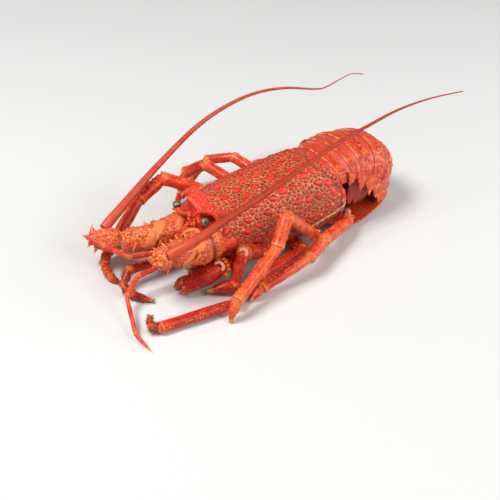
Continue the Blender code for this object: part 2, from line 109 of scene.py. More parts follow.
def paint_layers(tree, colour, masks, layers):
    """Colours over each other, each one where its mask is 1."""
    for mask, over in layers.items():
        colour = add_node(tree, "MixRGB", {"Fac": masks[mask], "Color1": colour, "Color2": over})
    return colour


def shell_surface(tree, colour, roughness, relief, ior, film, film_roughness):
    """The shader of a shell under a thin film of water and fat."""
    values = {"Base Color": colour, "Roughness": roughness, "Normal": relief, "IOR": ior}
    values.update({"Coat Weight": film, "Coat Roughness": film_roughness})
    set_inputs(tree, tree.nodes["Principled BSDF"], values)


def clamp(values):
    return np.clip(values, 0, 1)


def bell(values, width):
    """1 where the values are 0, and less to both sides over a width."""
    return np.exp(-((values / width) ** 2))


def round_turn(columns):
    """The angles of a ring of points."""
    return np.linspace(0, 2 * math.pi, columns, endpoint=False)


def unit(vectors):
    return vectors / np.maximum(np.linalg.norm(vectors, axis=-1, keepdims=True), 1e-9)


def smooth_path(points, steps):
    """Rows of numbers resampled along a smooth curve through them."""
    rows = np.array(points, float)
    t = np.linspace(0, len(rows) - 1, steps)
    i = np.minimum(t.astype(int), len(rows) - 2)
    u = (t - i)[:, None]
    a, b = rows[np.maximum(i - 1, 0)], rows[i]
    c, d = rows[i + 1], rows[np.minimum(i + 2, len(rows) - 1)]
    bend = (2 * a - 5 * b + 4 * c - d) * u**2 + (3 * b - a - 3 * c + d) * u**3
    return 0.5 * (2 * b + (c - a) * u + bend)


def grid_normals(grid):
    """Outward normals of a surface of rows of closed rings."""
    around = np.roll(grid, -1, 1) - np.roll(grid, 1, 1)
    along = np.gradient(grid, axis=0)
    normals = unit(np.cross(around, along))
    outward = grid - grid.mean(axis=1, keepdims=True)
    return normals if (normals * outward).sum() > 0 else -normals


def grid_part(grid, **masks):
    """A closed part from rows of rings, with a mask value for each point under each name."""
    rows, columns = grid.shape[:2]
    index = np.arange(rows * columns).reshape(rows, columns)
    beside = np.roll(index, -1, 1)
    quads = np.stack([index[:-1], beside[:-1], beside[1:], index[1:]], -1).reshape(-1, 4)
    a, b, c = (grid.reshape(-1, 3)[quads[:, i]] for i in (0, 1, 2))
    faces = quads.tolist() + [index[0, ::-1].tolist(), index[-1].tolist()]
    if (a * np.cross(b, c)).sum() < 0:
        faces = [face[::-1] for face in faces]
    full = {name: np.broadcast_to(mask, (rows, columns)).ravel() for name, mask in masks.items()}
    return {"points": grid.reshape(-1, 3), "faces": faces, "masks": full}


def make_piece(node, parts, material):
    """One mesh from parts, which stands for the solid of that name."""
    points, faces, names = [], [], sorted({mask for part in parts for mask in part["masks"]})
    masks = {mask: [] for mask in names}
    first = 0
    for part in parts:
        count = len(part["points"])
        points.append(part["points"])
        faces += [[first + i for i in face] for face in part["faces"]]
        for mask in names:
            masks[mask].append(part["masks"].get(mask, np.zeros(count)))
        first += count
    name = f"cooked_{node}"
    mesh = bpy.data.meshes.new(name)
    # whatever touches the table is pressed flat on it
    resting = np.maximum(np.concatenate(points), (-1e3, -1e3, 0))
    mesh.from_pydata((resting * MM).tolist(), [], faces)
    for mask in names:
        layer = mesh.attributes.new(mask, "FLOAT", "POINT")
        layer.data.foreach_set("value", np.concatenate(masks[mask]).astype(np.float32))
    mesh.shade_smooth()
    mesh.materials.append(material)
    piece = bpy.data.objects.new(name, mesh)
    bpy.context.scene.collection.objects.link(piece)
    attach(piece, "root")
    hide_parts(node)


def scatter(points, allowed, sizes, seed):
    """Middles of bumps that keep off each other. Sizes are the least and most radius, the free
    room round each and the number of tries."""
    draw = np.random.default_rng(seed)
    middles, radii = np.empty((6000, 3)), np.empty(6000)
    chosen = []
    for least, most, room, tries in sizes:
        for i, r in zip(draw.choice(allowed, tries), draw.uniform(least, most, tries)):
            n = len(chosen)
            away = ((middles[:n] - points[i]) ** 2).sum(1)
            if n < 6000 and np.all(away > (radii[:n] + r + room) ** 2):
                # a large scale is longer than it is wide, so it takes more room
                middles[n], radii[n] = points[i], r * (1.2 if r > 1.5 else 1)
                chosen.append((i, r))
    return chosen


def raise_bumps(points, normals, ahead, bumps, stretch, steep, point, seed):
    """Bumps (index, radius, height) on a surface. Returns the rise of each point in mm, its
    distance from the nearest bump's rim, below 0 on the bump, how much farther the next bump
    is, and the nearest bump's tone."""
    draw = np.random.default_rng(seed)
    finder = KDTree(len(points))
    for i, p in enumerate(points):
        finder.insert(p, i)
    finder.balance()
    rise, rim, tone = np.zeros(len(points)), np.full(len(points), 9.0), np.full(len(points), 0.5)
    second = rim.copy()
    for index, radius, height in bumps:
        turn, shade, longer = draw.uniform(-0.5, 0.5), draw.uniform(), stretch(radius)
        longer *= draw.uniform(0.88, 1.12)
        n = normals[index]
        front = unit(ahead[index] - n * (ahead[index] @ n))
        side = np.cross(n, front)
        front, side = (
            front * math.cos(turn) + side * math.sin(turn),
            side * math.cos(turn) - front * math.sin(turn),
        )
        near = np.array([i for _, i, _ in finder.find_range(points[index], radius * longer + 2.0)])
        offset = points[near] - points[index]
        a = offset @ front / (radius * longer)
        b = offset @ side / radius / (1 - point * clamp(a))
        q = np.sqrt(a * a + b * b)
        distance = (q - 1) * radius
        second[near] = np.minimum(second[near], np.maximum(distance, rim[near]))
        closer = distance < rim[near]
        rim[near[closer]] = distance[closer]
        tone[near[closer]] = shade
        dome = height * clamp(1 - q * q) ** steep * (1 + 0.3 * a)
        rise[near] = np.maximum(rise[near], dome)
    return rise, rim, second - rim, tone


def rim_mask(rim, shape):
    """Distances from the rim of a bump, from -1 to 2 mm, as a mask on a grid."""
    return (np.clip(rim, -1, 2).reshape(shape) + 1) / 3


def ring_grid(stations, columns, up=(0.3, 0.1, 1.0)):
    """Rows of rings round (x, y, z, half width, half height) stations."""
    rows = np.array(stations, float)
    centres = rows[:, :3]
    ahead = unit(np.gradient(centres, axis=0))
    side = unit(np.cross(ahead, np.array(up)))
    top = np.cross(side, ahead)
    a = round_turn(columns)
    across = side[:, None] * (rows[:, 3, None] * np.cos(a))[..., None]
    return centres[:, None] + across + top[:, None] * (rows[:, 4, None] * np.sin(a))[..., None]


def hairs(roots, ways, length, radius, seed, droop=0.3, **masks):
    """Thin curved bristles, one part: three-sided spikes from roots along ways."""
    draw = np.random.default_rng(seed)
    points, faces = [], []
    for root, way in zip(roots, ways):
        way = unit(way + draw.normal(0, 0.22, 3))
        side = unit(np.cross(way, (0.3, 0.5, 0.8)))
        over = np.cross(side, way)
        long = length * draw.uniform(0.6, 1.15)
        first = len(points)
        for share, thick in ((0.0, 1.0), (0.55, 0.7)):
            middle = root + way * long * share - np.array([0, 0, droop * long * share * share])
            for k in range(3):
                a = 2 * math.pi * k / 3
                points.append(middle + (side * math.cos(a) + over * math.sin(a)) * radius * thick)
        points.append(root + way * long - np.array([0, 0, droop * long]))
        for k in range(3):
            j = (k + 1) % 3
            faces.append([first + k, first + j, first + 3 + j, first + 3 + k])
            faces.append([first + 3 + k, first + 3 + j, first + 6])
        faces.append([first + 2, first + 1, first])
    count = len(points)
    return {
        "points": np.array(points),
        "faces": faces,
        "masks": {name: np.full(count, value) for name, value in masks.items()},
    }


BROW_Y = -58.0
FACE_Z = 29.0
REAR_Y = 42.0
WIDEST_Z = 22.0
# y, half width, top, half width of the breast
SHELL_PROFILE = [
    (-58, 21, 48, 10), (-50, 25, 50.8, 13), (-36, 28.5, 53, 15.5), (-16, 30.5, 55, 17), (8, 31.5, 56.5, 17),
    (28, 31, 58, 17), (42, 30, 56, 16),
]
SHELL_COLUMNS = 308
SHELL_ROWS = 226
BROW_ROWS = 16
# share of the rear edge and how far it is turned in behind it
INNER_RIM = ((0.992, 0.35), (0.975, 0.4), (0.955, 0.1), (0.94, -1.0), (0.93, -2.5), (0.5, -3), (0.05, -3))


def shell_section(half_width, top, breast):
    """x, z round the shell from the middle of the breast, closer together on the dome."""
    a = np.linspace(-math.pi / 2, 1.5 * math.pi, 900)
    c, s = np.cos(a), np.sin(a)
    below = clamp(-s)
    reach = half_width + (breast - half_width) * np.minimum(1, below * 1.35) ** 2.2
    x = np.where(s >= 0, half_width * np.abs(c) ** 0.92, reach * np.abs(c) ** 0.55) * np.sign(c)
    dome_z = WIDEST_Z + (top - WIDEST_Z) * clamp(s) ** 0.96
    z = np.where(s >= 0, dome_z, WIDEST_Z * (1 - np.minimum(1, below * 1.16)))
    step = np.hypot(np.diff(x), np.diff(z)) * np.where(z[1:] > 8, 1.0, 0.3)
    run = np.concatenate([[0], np.cumsum(step)])
    wanted = np.linspace(0, run[-1], SHELL_COLUMNS + 1)[:-1]
    return np.interp(wanted, run, x), np.interp(wanted, run, z)


def rear_shift(x, z):
    """The rear edge is hollow over the back, reaches back at the sides and in again below."""
    high = 10.5 * np.minimum(1, np.abs(x) / 29) ** 2.6
    low = 10.5 * (1 - 0.75 * (np.clip(30 - z, 0, 30) / 30) ** 1.3)
    return np.where(z > WIDEST_Z + 8, high, low)


shell_rows = []
for t in np.linspace(0.04, 1, BROW_ROWS, endpoint=False):
    x, z = shell_section(*SHELL_PROFILE[0][1:])
    y = BROW_Y - 4.2 * math.sqrt(1 - t * t) + 0 * x
    shell_rows.append(np.stack([x * t, y, FACE_Z + (z - FACE_Z) * t], -1))
for y0, half_width, top, breast in smooth_path(SHELL_PROFILE, SHELL_ROWS):
    x, z = shell_section(half_width, top, breast)
    y = y0 + clamp((y0 - REAR_Y + 24) / 24) * rear_shift(x, z)
    shell_rows.append(np.stack([x, y, z], -1))
rim_row = shell_rows[-1]
for scale, back in INNER_RIM:
    shell_rows.append(rim_row * (scale, 1, scale) + (0, back, 30 * (1 - scale)))
shell_grid = np.stack(shell_rows)

# The brow swells up towards each horn, and the eye sockets are pushed back in below it.
gx, gy, gz = np.moveaxis(shell_grid, -1, 0)
swell = np.exp(-(((np.abs(gx) - 12) / 6.5) ** 2) - ((gy + 57) / 8.5) ** 2) * clamp((gz - 38) / 6)
shell_grid[..., 2] += 3.0 * swell
SOCKET_X, SOCKET_Z = 13, 44.5
SOCKET_HALF_WIDTH, SOCKET_HALF_HEIGHT = 8.5, 6.2
SOCKET_FRONT, SOCKET_DEPTH = -62, 13
sunk = np.zeros(gx.shape)
for side in (1, -1):
    dx = (shell_grid[..., 0] - side * SOCKET_X) / SOCKET_HALF_WIDTH
    dz = (shell_grid[..., 2] - SOCKET_Z) / SOCKET_HALF_HEIGHT
    inside = dx * dx + dz * dz
    floor_y = SOCKET_FRONT + SOCKET_DEPTH * np.sqrt(clamp(1 - inside))
    pushed = (inside < 1) & (shell_grid[..., 1] < floor_y)
    sunk = np.maximum(sunk, np.where(pushed, clamp(1.3 - inside), 0))
    shell_grid[..., 1] = np.where(pushed, floor_y, shell_grid[..., 1])

shell_normals = grid_normals(shell_grid)
shape = shell_grid.shape[:2]
points, normals = shell_grid.reshape(-1, 3), shell_normals.reshape(-1, 3)
ahead = unit(np.gradient(shell_grid, axis=0)).reshape(-1, 3) * -1
x, y, z = points.T
# The furrow runs along the rear edge, closer to it at the sides: x and the gap to the edge.
FURROW_GAPS = ([0, 8, 12.4, 16, 18.5, 23, 25, 31], [9.5, 10, 11, 8, 6.6, 5.3, 4.7, 4.5])
edge_y = REAR_Y + rear_shift(x, z)
furrow = np.where(z > 18, np.abs(y - edge_y + np.interp(np.abs(x), *FURROW_GAPS)), 9)
behind = y > edge_y - 1.8
# The neck groove crosses the back at mid length and sweeps forward down the flanks.
neck = np.abs(y - (-14.0 - 0.022 * x * x)) / 1.3
bare = (y < -55.5) & (z > 38)
row_number = np.repeat(np.arange(shape[0]), shape[1])
on_shell = (row_number > BROW_ROWS) & (row_number < BROW_ROWS + SHELL_ROWS)
open_skin = np.nonzero(on_shell & (z > 2.5) & (furrow > 0.9) & ~behind & ~bare & (neck > 0.6))[0]
# large scales stand some 9 mm apart, middling ones between them and small round ones all over
SCALE_SIZES = [(1.9, 2.8, 3.0, 1200), (1.2, 1.6, 1.3, 700), (0.84, 1.16, 0.42, 40000)]
LARGE = 1.8
scales = scatter(points, open_skin, SCALE_SIZES, 11)
bumps = [(i, r, 1.0 if r > LARGE else 0.66 + 0.3 * (r - 0.8)) for i, r in scales]
rise, rim, gap, tone = raise_bumps(
    points, normals, ahead, bumps, lambda r: 1.65 if r > LARGE else 1.1, 0.48, 0.45, 12
)
smooth_skin = bare | behind | ~on_shell | (sunk.ravel() > 0)
net = clamp(1.1 - gap / 0.75) * clamp(rim / 0.12) * ~smooth_skin
NET_HEIGHT, FURROW_DEPTH, NECK_DEPTH = 0.12, 0.75, 0.6
rise += NET_HEIGHT * net - FURROW_DEPTH * bell(furrow, 0.55) - NECK_DEPTH * bell(neck, 1) * ~bare
rim = np.where(smooth_skin, -0.9, rim)
body_part = grid_part(
    (points + normals * rise[:, None]).reshape(*shape, 3),
    rim=rim_mask(rim, shape),
    net=net.reshape(shape),
    tone=tone.reshape(shape),
    furrow=bell(furrow, 0.6).reshape(shape),
    low=clamp((34 - z) / 26).reshape(shape),
    breast=clamp((6 - z) / 4).reshape(shape) * 0.85,
    # the pushed-in eye sockets get dark red painted shade
    deep=sunk,
)


HORN_STEPS = 44
HORN_COLUMNS = 28


def horn(path, point=1.0, **masks):
    """A smooth horn or spine through (x, y, z, half width, half height) stations."""
    grid = ring_grid(smooth_path(path, HORN_STEPS), HORN_COLUMNS)
    tip = point * clamp((np.linspace(0, 1, HORN_STEPS) - 0.86) / 0.12)[:, None]
    return grid_part(grid, rim=0.05, tone=0.6, amber=tip, grained=1 - tip, **masks)


# Each horn is a flattened blade that leans over the eye, with a ridge down behind the socket.
HORN_LEFT = [
    (14, -46, 45, 3, 3), (14.6, -52, 48.5, 3, 2.8), (14.2, -57, 51, 2.3, 2), (12.4, -61.5, 52.8, 1.7, 1.6),
    (10.7, -65.3, 53, 1.2, 1.4), (9.6, -68, 51.6, 0.8, 0.9), (8.9, -69.4, 49.8, 0.2, 0.25),
]
HORN_RIGHT = [
    (-13.5, -46, 45, 3.4, 3.4), (-13.2, -52, 49.4, 3.6, 3.8), (-12.5, -57, 52, 3, 3),
    (-11.2, -61, 53.6, 2, 2.1), (-10.3, -64, 54, 1.1, 1.4), (-9.8, -65.8, 53.8, 0.2, 0.25),
]
SOCKET_RIDGE = [
    (12, -60, 52.6, 1.2, 1.4), (14.6, -58.2, 51.6, 1.4, 1.5), (17.4, -56.4, 49, 1.4, 1.5),
    (19.6, -55.6, 45.5, 1.3, 1.3), (21, -55.6, 41.5, 1, 1),
]
CHEEK = [(21.5, -47, 28, 5.5, 6), (23.5, -55, 28, 3.4, 3.8), (24.2, -60, 27, 0.3, 0.4)]
CHIN_SPINE = [(-15.5, -55, 34, 3, 3), (-18, -60.5, 35.5, 2, 2), (-20.2, -65.5, 37, 0.2, 0.3)]
BROW_PLATE = [(0, -48, 46, 12, 3), (0, -56, 49.8, 11, 3), (0, -60.5, 51, 9.4, 1.9), (0, -62.8, 50.6, 8, 0.5)]
BEAK = [(0, -50, 24, 12, 15), (0, -62, 25, 6.5, 12), (0, -69, 28, 4.5, 8), (0, -73, 29, 3, 4)]
shell_parts = [body_part, horn(HORN_LEFT), horn(HORN_RIGHT), horn(CHIN_SPINE)]
for side in (1, -1):
    for path in (SOCKET_RIDGE, CHEEK):
        shell_parts.append(horn([(side * x0, *rest) for x0, *rest in path]))
shell_parts.append(horn(BROW_PLATE, 0.0))
# the face below the brow gets some dark red painted shade
shell_parts.append(horn(BEAK, 0.0, deep=0.4))


def dome(centre, radius, steps, **masks):
    """A small ball with a tiny flat at each pole."""
    centre = np.array(centre, float)
    rows = []
    flat = 0.12
    for a in np.linspace(flat, math.pi - flat, steps):
        girth = radius * math.sin(a)
        rows.append((*(centre + (0, 0, -radius * math.cos(a))), girth, girth))
    return grid_part(ring_grid(rows, 14, (0.3, 1.0, 0.1)), **masks)


# A crowd of orange knobs covers the face below the brow, between the stalks of the eyes:
# spread to the sides, y, z, spread in height and count
FACE_KNOBS = ((2.6, -63.6, 38, 2.4, 34), (3.4, -66.5, 34, 1.6, 22))
draw = np.random.default_rng(17)
for spread, y0, z0, high, count in FACE_KNOBS:
    for _ in range(count):
        spot = (draw.normal(0, spread), y0 + draw.normal(0, 0.6), z0 + draw.normal(0, high))
        radius, amber = draw.uniform(0.8, 1.5), draw.uniform(0, 0.6)
        shell_parts.append(dome(spot, radius, 8, rim=0.1, tone=0.6, amber=amber))
# Glossy amber knobs stand at the rear corners, and a fringe of cream hairs along the flanks.
REAR_KNOBS = ((37.9, 31.5, 1.6), (45.2, 36.5, 1.5), (48.8, 30.5, 1.4), (41, 42, 1.2), (27, 27, 1.2))
FRINGE = [
    (32.2, 14, 20.8), (32.3, 19, 21.8), (32.3, 26, 22.9), (32, 34, 24), (31.6, 42, 25.2), (30.9, 48.4, 26.5),
    (29.9, 51.2, 28.4),
]
FRINGE_HAIRS = 150
SEAM_RADIUS = 0.14
HAIR_LENGTH = 1.5
HAIR_RADIUS = 0.17
for side in (1, -1):
    for y0, z0, radius in REAR_KNOBS:
        spot = np.array([side * 30.0, y0, z0])
        spot = points[((points - spot) ** 2).sum(1).argmin()]
        shell_parts.append(dome(spot, radius, 14, rim=0.05, tone=0.8, amber=0.75))
    line = smooth_path([(side * x0, *rest) for x0, *rest in FRINGE], FRINGE_HAIRS)
    seam = [(*spot, SEAM_RADIUS, SEAM_RADIUS) for spot in line[::2]]
    shell_parts.append(grid_part(ring_grid(seam, 8), hair=0.6))
    # the hairs stand in uneven clumps
    number = np.arange(FRINGE_HAIRS)
    clumps = line[np.sin(number * 0.9) + np.sin(number * 0.37) > -0.7]
    ways = [(side * 0.8, 0.25, -0.6)] * len(clumps)
    shell_parts.append(hairs(clumps, ways, HAIR_LENGTH, HAIR_RADIUS, 16, hair=1.0))

# Boiled chitin with scales: the tops are wet and red, with specks of pink painted highlight, a tan
# net runs round them, and the skin between is a dull brown that turns darker down the flanks. The
# eye sockets and the face below the brow get dark red painted shade.
SCALY_MASKS = ("rim", "net", "tone", "furrow", "low", "breast", "deep", "amber", "hair", "grained")
scaly, tree, place, masks = new_material("boiled_scaly_chitin", *SCALY_MASKS)
# pores of 0.7 mm, specks of 2.4 mm and blotches of 11 mm
grain = add_node(tree, "TexNoise", {"Vector": place, "Scale": 1400.0, "Detail": 3.0})
speck = add_node(tree, "TexNoise", {"Vector": place, "Scale": 420.0, "Detail": 2.0})
blotch = add_node(tree, "TexNoise", {"Vector": place, "Scale": 90.0, "Detail": 2.0})
# red tops, a dark line at the rim of each scale and brown skin up to 2 mm away from it
SCALE_ZONES = [
    (0.05, "E63826"), (0.27, "D42616"), (0.335, "8C180A"), (0.42, "A02E14"), (0.55, "A43C1C"),
    (0.75, "884420"), (1.0, "74502C"),
]
zones = add_node(tree, "ValToRGB", {"Fac": masks["rim"]}, SCALE_ZONES)
tones = add_node(tree, "ValToRGB", {"Fac": masks["tone"]}, [(0.0, "E2D2D2"), (1.0, "FFFFFF")])
toned = add_node(tree, "MixRGB", {"Fac": 1.0, "Color1": zones, "Color2": tones}, blend_type="MULTIPLY")
# painted highlight: specks on the tops of the scales are paled towards pink
painted_highlight = add_node(tree, "MapRange", {"Value": speck, "From Min": 0.45, "From Max": 0.7, "To Max": 0.4})
top_only = {"Value": masks["rim"], "From Min": 0.12, "From Max": 0.3, "To Min": painted_highlight, "To Max": 0.0}
painted_highlight = add_node(tree, "MapRange", top_only)
highlighted = add_node(tree, "MixRGB", {"Fac": painted_highlight, "Color1": toned, "Color2": "EE6A4A"})
NET_TONES = [(0.35, "CA6A38"), (0.5, "E89258"), (0.65, "F4B076")]
net_colour = add_node(tree, "ValToRGB", {"Fac": speck}, NET_TONES)
netted = add_node(tree, "MixRGB", {"Fac": masks["net"], "Color1": highlighted, "Color2": net_colour})
blotch_tone = add_node(tree, "ValToRGB", {"Fac": blotch}, [(0.35, "EEC4AC"), (0.65, "FFFFFF")])
mottled = add_node(
    tree, "MixRGB", {"Fac": 0.6, "Color1": netted, "Color2": blotch_tone}, blend_type="MULTIPLY"
)
flank = add_node(
    tree, "MixRGB", {"Fac": masks["low"], "Color1": mottled, "Color2": "D2B8A8"}, blend_type="MULTIPLY"
)
# the horns and the brow are rough with straw-coloured grains of 0.6 mm, one in every 1.5 mm
grains = add_node(tree, "TexVoronoi", {"Vector": place, "Scale": 660.0})
spots = {"Value": grains, "From Min": 0.2, "From Max": 0.4, "To Min": 0.8, "To Max": 0.0}
spots = add_node(tree, "MapRange", spots)
grain_share = add_node(tree, "Math", {0: masks["grained"], 1: spots}, operation="MULTIPLY")
grainy = add_node(tree, "MixRGB", {"Fac": grain_share, "Color1": flank, "Color2": "EE7E4C"})
# dark red painted shade in the eye sockets and on the face below the brow
SHELL_LAYERS = {"furrow": "7E3A1C", "breast": "D8744A", "deep": "A82418", "amber": "F28A46", "hair": "F2DCA0"}
wetness = add_node(tree, "MapRange", {"Value": grain, "To Min": 0.26, "To Max": 0.48})
dried = add_node(tree, "Math", {0: masks["grained"], 1: 0.16, 2: wetness}, operation="MULTIPLY_ADD")
relief = add_node(tree, "Bump", {"Height": grain_share, "Strength": 0.6, "Distance": 0.0004})
relief = add_node(tree, "Bump", {"Height": grain, "Normal": relief, "Strength": 0.25, "Distance": 0.0003})
colour = paint_layers(tree, grainy, masks, SHELL_LAYERS)
shell_surface(tree, colour, dried, relief, ior=1.38, film=0.12, film_roughness=0.22)

make_piece("carapace", shell_parts, scaly)

# ---------------------------------------------------------------- tail rings
# Six rings of smooth boiled chitin slide into each other like a telescope. Each has a bare,
# glossy band in front and a raised, pitted strip behind with broken lines of orange hairs. From
# the second on, a pointed lobe hangs at each side. The tail is curled down and forward.

# y and z on the back, y and z at the sides, half width
RING_EDGES = [
    (41, 52.5, 47, 39, 25), (54, 55.5, 54.5, 42.5, 26.3), (64.5, 57.5, 63, 42.5, 28),
    (76, 58.6, 70.5, 39, 29.2), (101.5, 53, 79.5, 33.5, 29.8), (115.5, 36, 87.5, 25, 28.5),
    (112, 11, 96, 10, 25.5),
]
LOBE_TIPS = {
    2: (26.5, 56.5, 38.5),
    3: (30, 65, 32),
    4: (29.5, 76, 24.5),
    5: (28.5, 84.5, 18.5),
    6: (26.5, 91.5, 10),
}
BELLY_SAG = 6.5
ARCH_COLUMNS = 210
BELLY_COLUMNS = 36


def ring_edge(place):
    """The edge of a ring at a place counted in ring edges."""
    return smooth_path(RING_EDGES, 601)[int(round(place * 100))]


def tail_ring_row(place, shrink):
    """One ring of points round the tail at a place counted in ring edges."""
    back_y, back_z, side_y, side_z, half_width = ring_edge(min(max(place, 0), 6))
    foot, back = np.array([0, side_y, side_z]), np.array([0, back_y, back_z])
    up_way = unit(back - foot)
    rise = back - foot - up_way * shrink
    half = half_width - shrink
    a = np.linspace(0, math.pi, ARCH_COLUMNS)
    x = half * np.abs(np.cos(a)) ** 0.9 * np.sign(np.cos(a))
    arch = foot + rise * (np.sin(a) ** 0.95)[:, None] + x[:, None] * (1, 0, 0)
    b = np.linspace(-1, 1, BELLY_COLUMNS + 2)[1:-1]
    sag = (1 - np.abs(b) ** 2.5)[:, None] * -BELLY_SAG * up_way
    return np.concatenate([arch, foot + sag + (half * b)[:, None] * (1, 0, 0)])


def off_axis(way):
    """A direction well away from the given one."""
    return (0.3, 0.1, 1.0) if abs(way[2]) < 0.9 else (1.0, 0.0, 0.0)


def thorn(root, way, length, radius, steps=14, **masks):
    """A short spine, curved a little, with a mask that grows to its tip."""
    root, way = np.array(root, float), unit(np.array(way, float))
    shape = [(-0.25, 1.15), (0.0, 1.0), (0.3, 0.68), (0.6, 0.38), (0.85, 0.17), (1.0, 0.04)]
    rows = [(*(root + way * length * t), radius * r, radius * r) for t, r in smooth_path(shape, steps)]
    t = np.linspace(0, 1, steps)[:, None]
    return grid_part(ring_grid(rows, 12, off_axis(way)), spine=clamp(t * 1.6 - 0.6), **masks)


# place along a lobe and share of its width, then the same for a leaf below the tail
LOBE_SHAPE = ((0, 1), (0.25, 1), (0.42, 0.86), (0.56, 0.66), (0.7, 0.44), (0.86, 0.2), (1, 0.03))
LEAF_SHAPE = ((0, 0.5), (0.15, 0.8), (0.4, 1), (0.7, 0.95), (0.9, 0.6), (1, 0.12))
LOBE_STEPS, LOBE_COLUMNS = 44, 40
LEAF_STEPS, LEAF_COLUMNS = 30, 36
LEAF_RIBS = 9
# two teeth stand on the rear edge of each lobe, and one shorter on the front edge: the step,
# the edge and the length
LOBE_TEETH = ((18, 1, 3.0), (26, 1, 2.3), (28, -1, 1.6))


def tail_lobe(index, side):
    """The pointed lobe at the side of a ring, with small teeth on its rear edge."""
    _, _, y0, z0, half_width = ring_edge(index - 0.42)
    root, tip = np.array([half_width - 3.0, y0, z0 + 4.5]), np.array(LOBE_TIPS[index])
    reach = 4.1 if index < 4 else 5.0
    stations = []
    for t, wide in LOBE_SHAPE:
        spot = root + (tip - root) * t + (1.3 * math.sin(math.pi * t), 0, 0)
        stations.append((side * spot[0], spot[1], spot[2], reach * wide, 2.3 - 1.9 * t))
    path = smooth_path(stations, LOBE_STEPS)
    grid = ring_grid(path, LOBE_COLUMNS, (1, 0, 0))
    t = np.linspace(0, 1, LOBE_STEPS)[:, None]
    turn = round_turn(LOBE_COLUMNS)[None]
    fold = 0.45 * np.cos(turn * 2) * (1 - t)
    grid = grid + grid_normals(grid) * fold[..., None] * (t > 0.02)[..., None]
    # the joint between two lobes lies in shade, a dark seam down to the free tips
    beside = np.abs(np.sin(turn + math.pi / 2))
    seam = clamp((beside - 0.86) / 0.1) * clamp((0.72 - t) / 0.2)
    parts = [grid_part(grid, strip=0.9, rim=0.8, edge=np.clip(0.2 + (t - 0.6) * 3, 0.2, 1), deep=0.8 * seam)]
    for along, way, length in LOBE_TEETH:
        x, y, z, wide, _ = path[along]
        spot = (x, y + way * wide * 0.75, z)
        ahead = np.array([0, way * 0.75, 0]) + unit(tip - root) * (side, 1, 1)
        parts.append(thorn(spot, ahead, length, 1.1, edge=0.8, strip=0.4, rim=0.8))
    return parts


def swimmeret(index, side):
    """A soft leaf that hangs below the side of a ring."""
    _, _, y0, z0, half_width = ring_edge(index - 0.45)
    root, tip = np.array([half_width - 7.5, y0, z0 + 2.5]), np.array(SWIMMERET_TIPS[index], float)
    stations = []
    for t, share in LEAF_SHAPE:
        spot = root + (tip - root) * t + (1.0 * math.sin(math.pi * t), 0, 0)
        stations.append((side * spot[0], spot[1], spot[2], 4.9 * share, 1.7 - 0.9 * t))
    grid = ring_grid(smooth_path(stations, LEAF_STEPS), LEAF_COLUMNS, (1, 0, 0))
    t = np.linspace(0, 1, LEAF_STEPS)[:, None]
    ribs = 0.12 * np.cos(round_turn(LEAF_COLUMNS) * LEAF_RIBS)[None, :, None]
    grid = grid + grid_normals(grid) * ribs * (t > 0.05)[..., None]
    # the leaves hang in the hollow under the tail: dark red painted shade, a little less towards their tips
    return grid_part(grid, deep=0.8 - 0.25 * t, strip=0.5, rim=0.8, edge=0.3 * clamp((t - 0.85) * 6))


# Smooth boiled chitin: a wet gloss, salmon where it is bare with a pale pink painted highlight on
# the shoulders, redder and pitted on the strips, with orange to straw yellow along the hair lines,
# and dark red painted shade in the hollows and creases and under the tail.
SMOOTH_MASKS = ("strip", "rim", "pale", "edge", "deep")
smooth_shell, tree, place, masks = new_material("boiled_smooth_chitin", *SMOOTH_MASKS)
# clouds of 8 mm, hair dashes of 4 mm and dots of 2 mm
cloud = add_node(tree, "TexNoise", {"Vector": place, "Scale": 120.0, "Detail": 4.0})
broken = add_node(tree, "TexNoise", {"Vector": place, "Scale": 230.0, "Detail": 2.0})
fine_noise = add_node(tree, "TexNoise", {"Vector": place, "Scale": 520.0, "Detail": 3.0})
BAND_TONES = [(0.3, "C02A18"), (0.5, "CC3E28"), (0.7, "D85A40")]
band_colour = add_node(tree, "ValToRGB", {"Fac": cloud}, BAND_TONES)
# bare bands are paled to pink: a little all over as their own salmon colour, and more on the shoulders as a
# painted highlight
paled = add_node(tree, "MixRGB", {"Fac": masks["pale"], "Color1": band_colour, "Color2": "E88270"})
STRIP_TONES = [(0.3, "BC2A12"), (0.45, "D6401F"), (0.6, "E65C34"), (0.72, "F08A4C")]
strip_colour = add_node(tree, "ValToRGB", {"Fac": fine_noise}, STRIP_TONES)
striped = add_node(tree, "MixRGB", {"Fac": masks["strip"], "Color1": paled, "Color2": strip_colour})
PIT_TONES = [(0.2, "FFFFFF"), (0.3, "E89078"), (0.36, "B05A3C"), (0.46, "F0C0A0"), (0.6, "FFFFFF")]
pit_tone = add_node(tree, "ValToRGB", {"Fac": masks["rim"]}, PIT_TONES)
pits = {"Fac": masks["strip"], "Color1": striped, "Color2": pit_tone}
pitted = add_node(tree, "MixRGB", pits, blend_type="MULTIPLY")
dashes = add_node(tree, "MapRange", {"Value": broken, "From Min": 0.46, "From Max": 0.57})
dashed = add_node(tree, "Math", {0: masks["edge"], 1: dashes}, operation="MULTIPLY")
line_colour = add_node(tree, "ValToRGB", {"Fac": fine_noise}, [(0.4, "EE7A34"), (0.6, "F6B450")])
edged = add_node(tree, "MixRGB", {"Fac": dashed, "Color1": pitted, "Color2": line_colour})
roughness = add_node(tree, "MapRange", {"Value": masks["strip"], "To Min": 0.26, "To Max": 0.44})
dulled = add_node(tree, "Math", {0: masks["deep"], 1: 0.35, 2: roughness}, operation="MULTIPLY_ADD")
relief = add_node(tree, "Bump", {"Height": fine_noise, "Strength": 0.22, "Distance": 0.0003})
# dark red painted shade over the hollows, the creases and the parts under the tail
colour = paint_layers(tree, edged, masks, {"deep": "740C03"})
shell_surface(tree, colour, dulled, relief, ior=1.4, film=0.2, film_roughness=0.15)

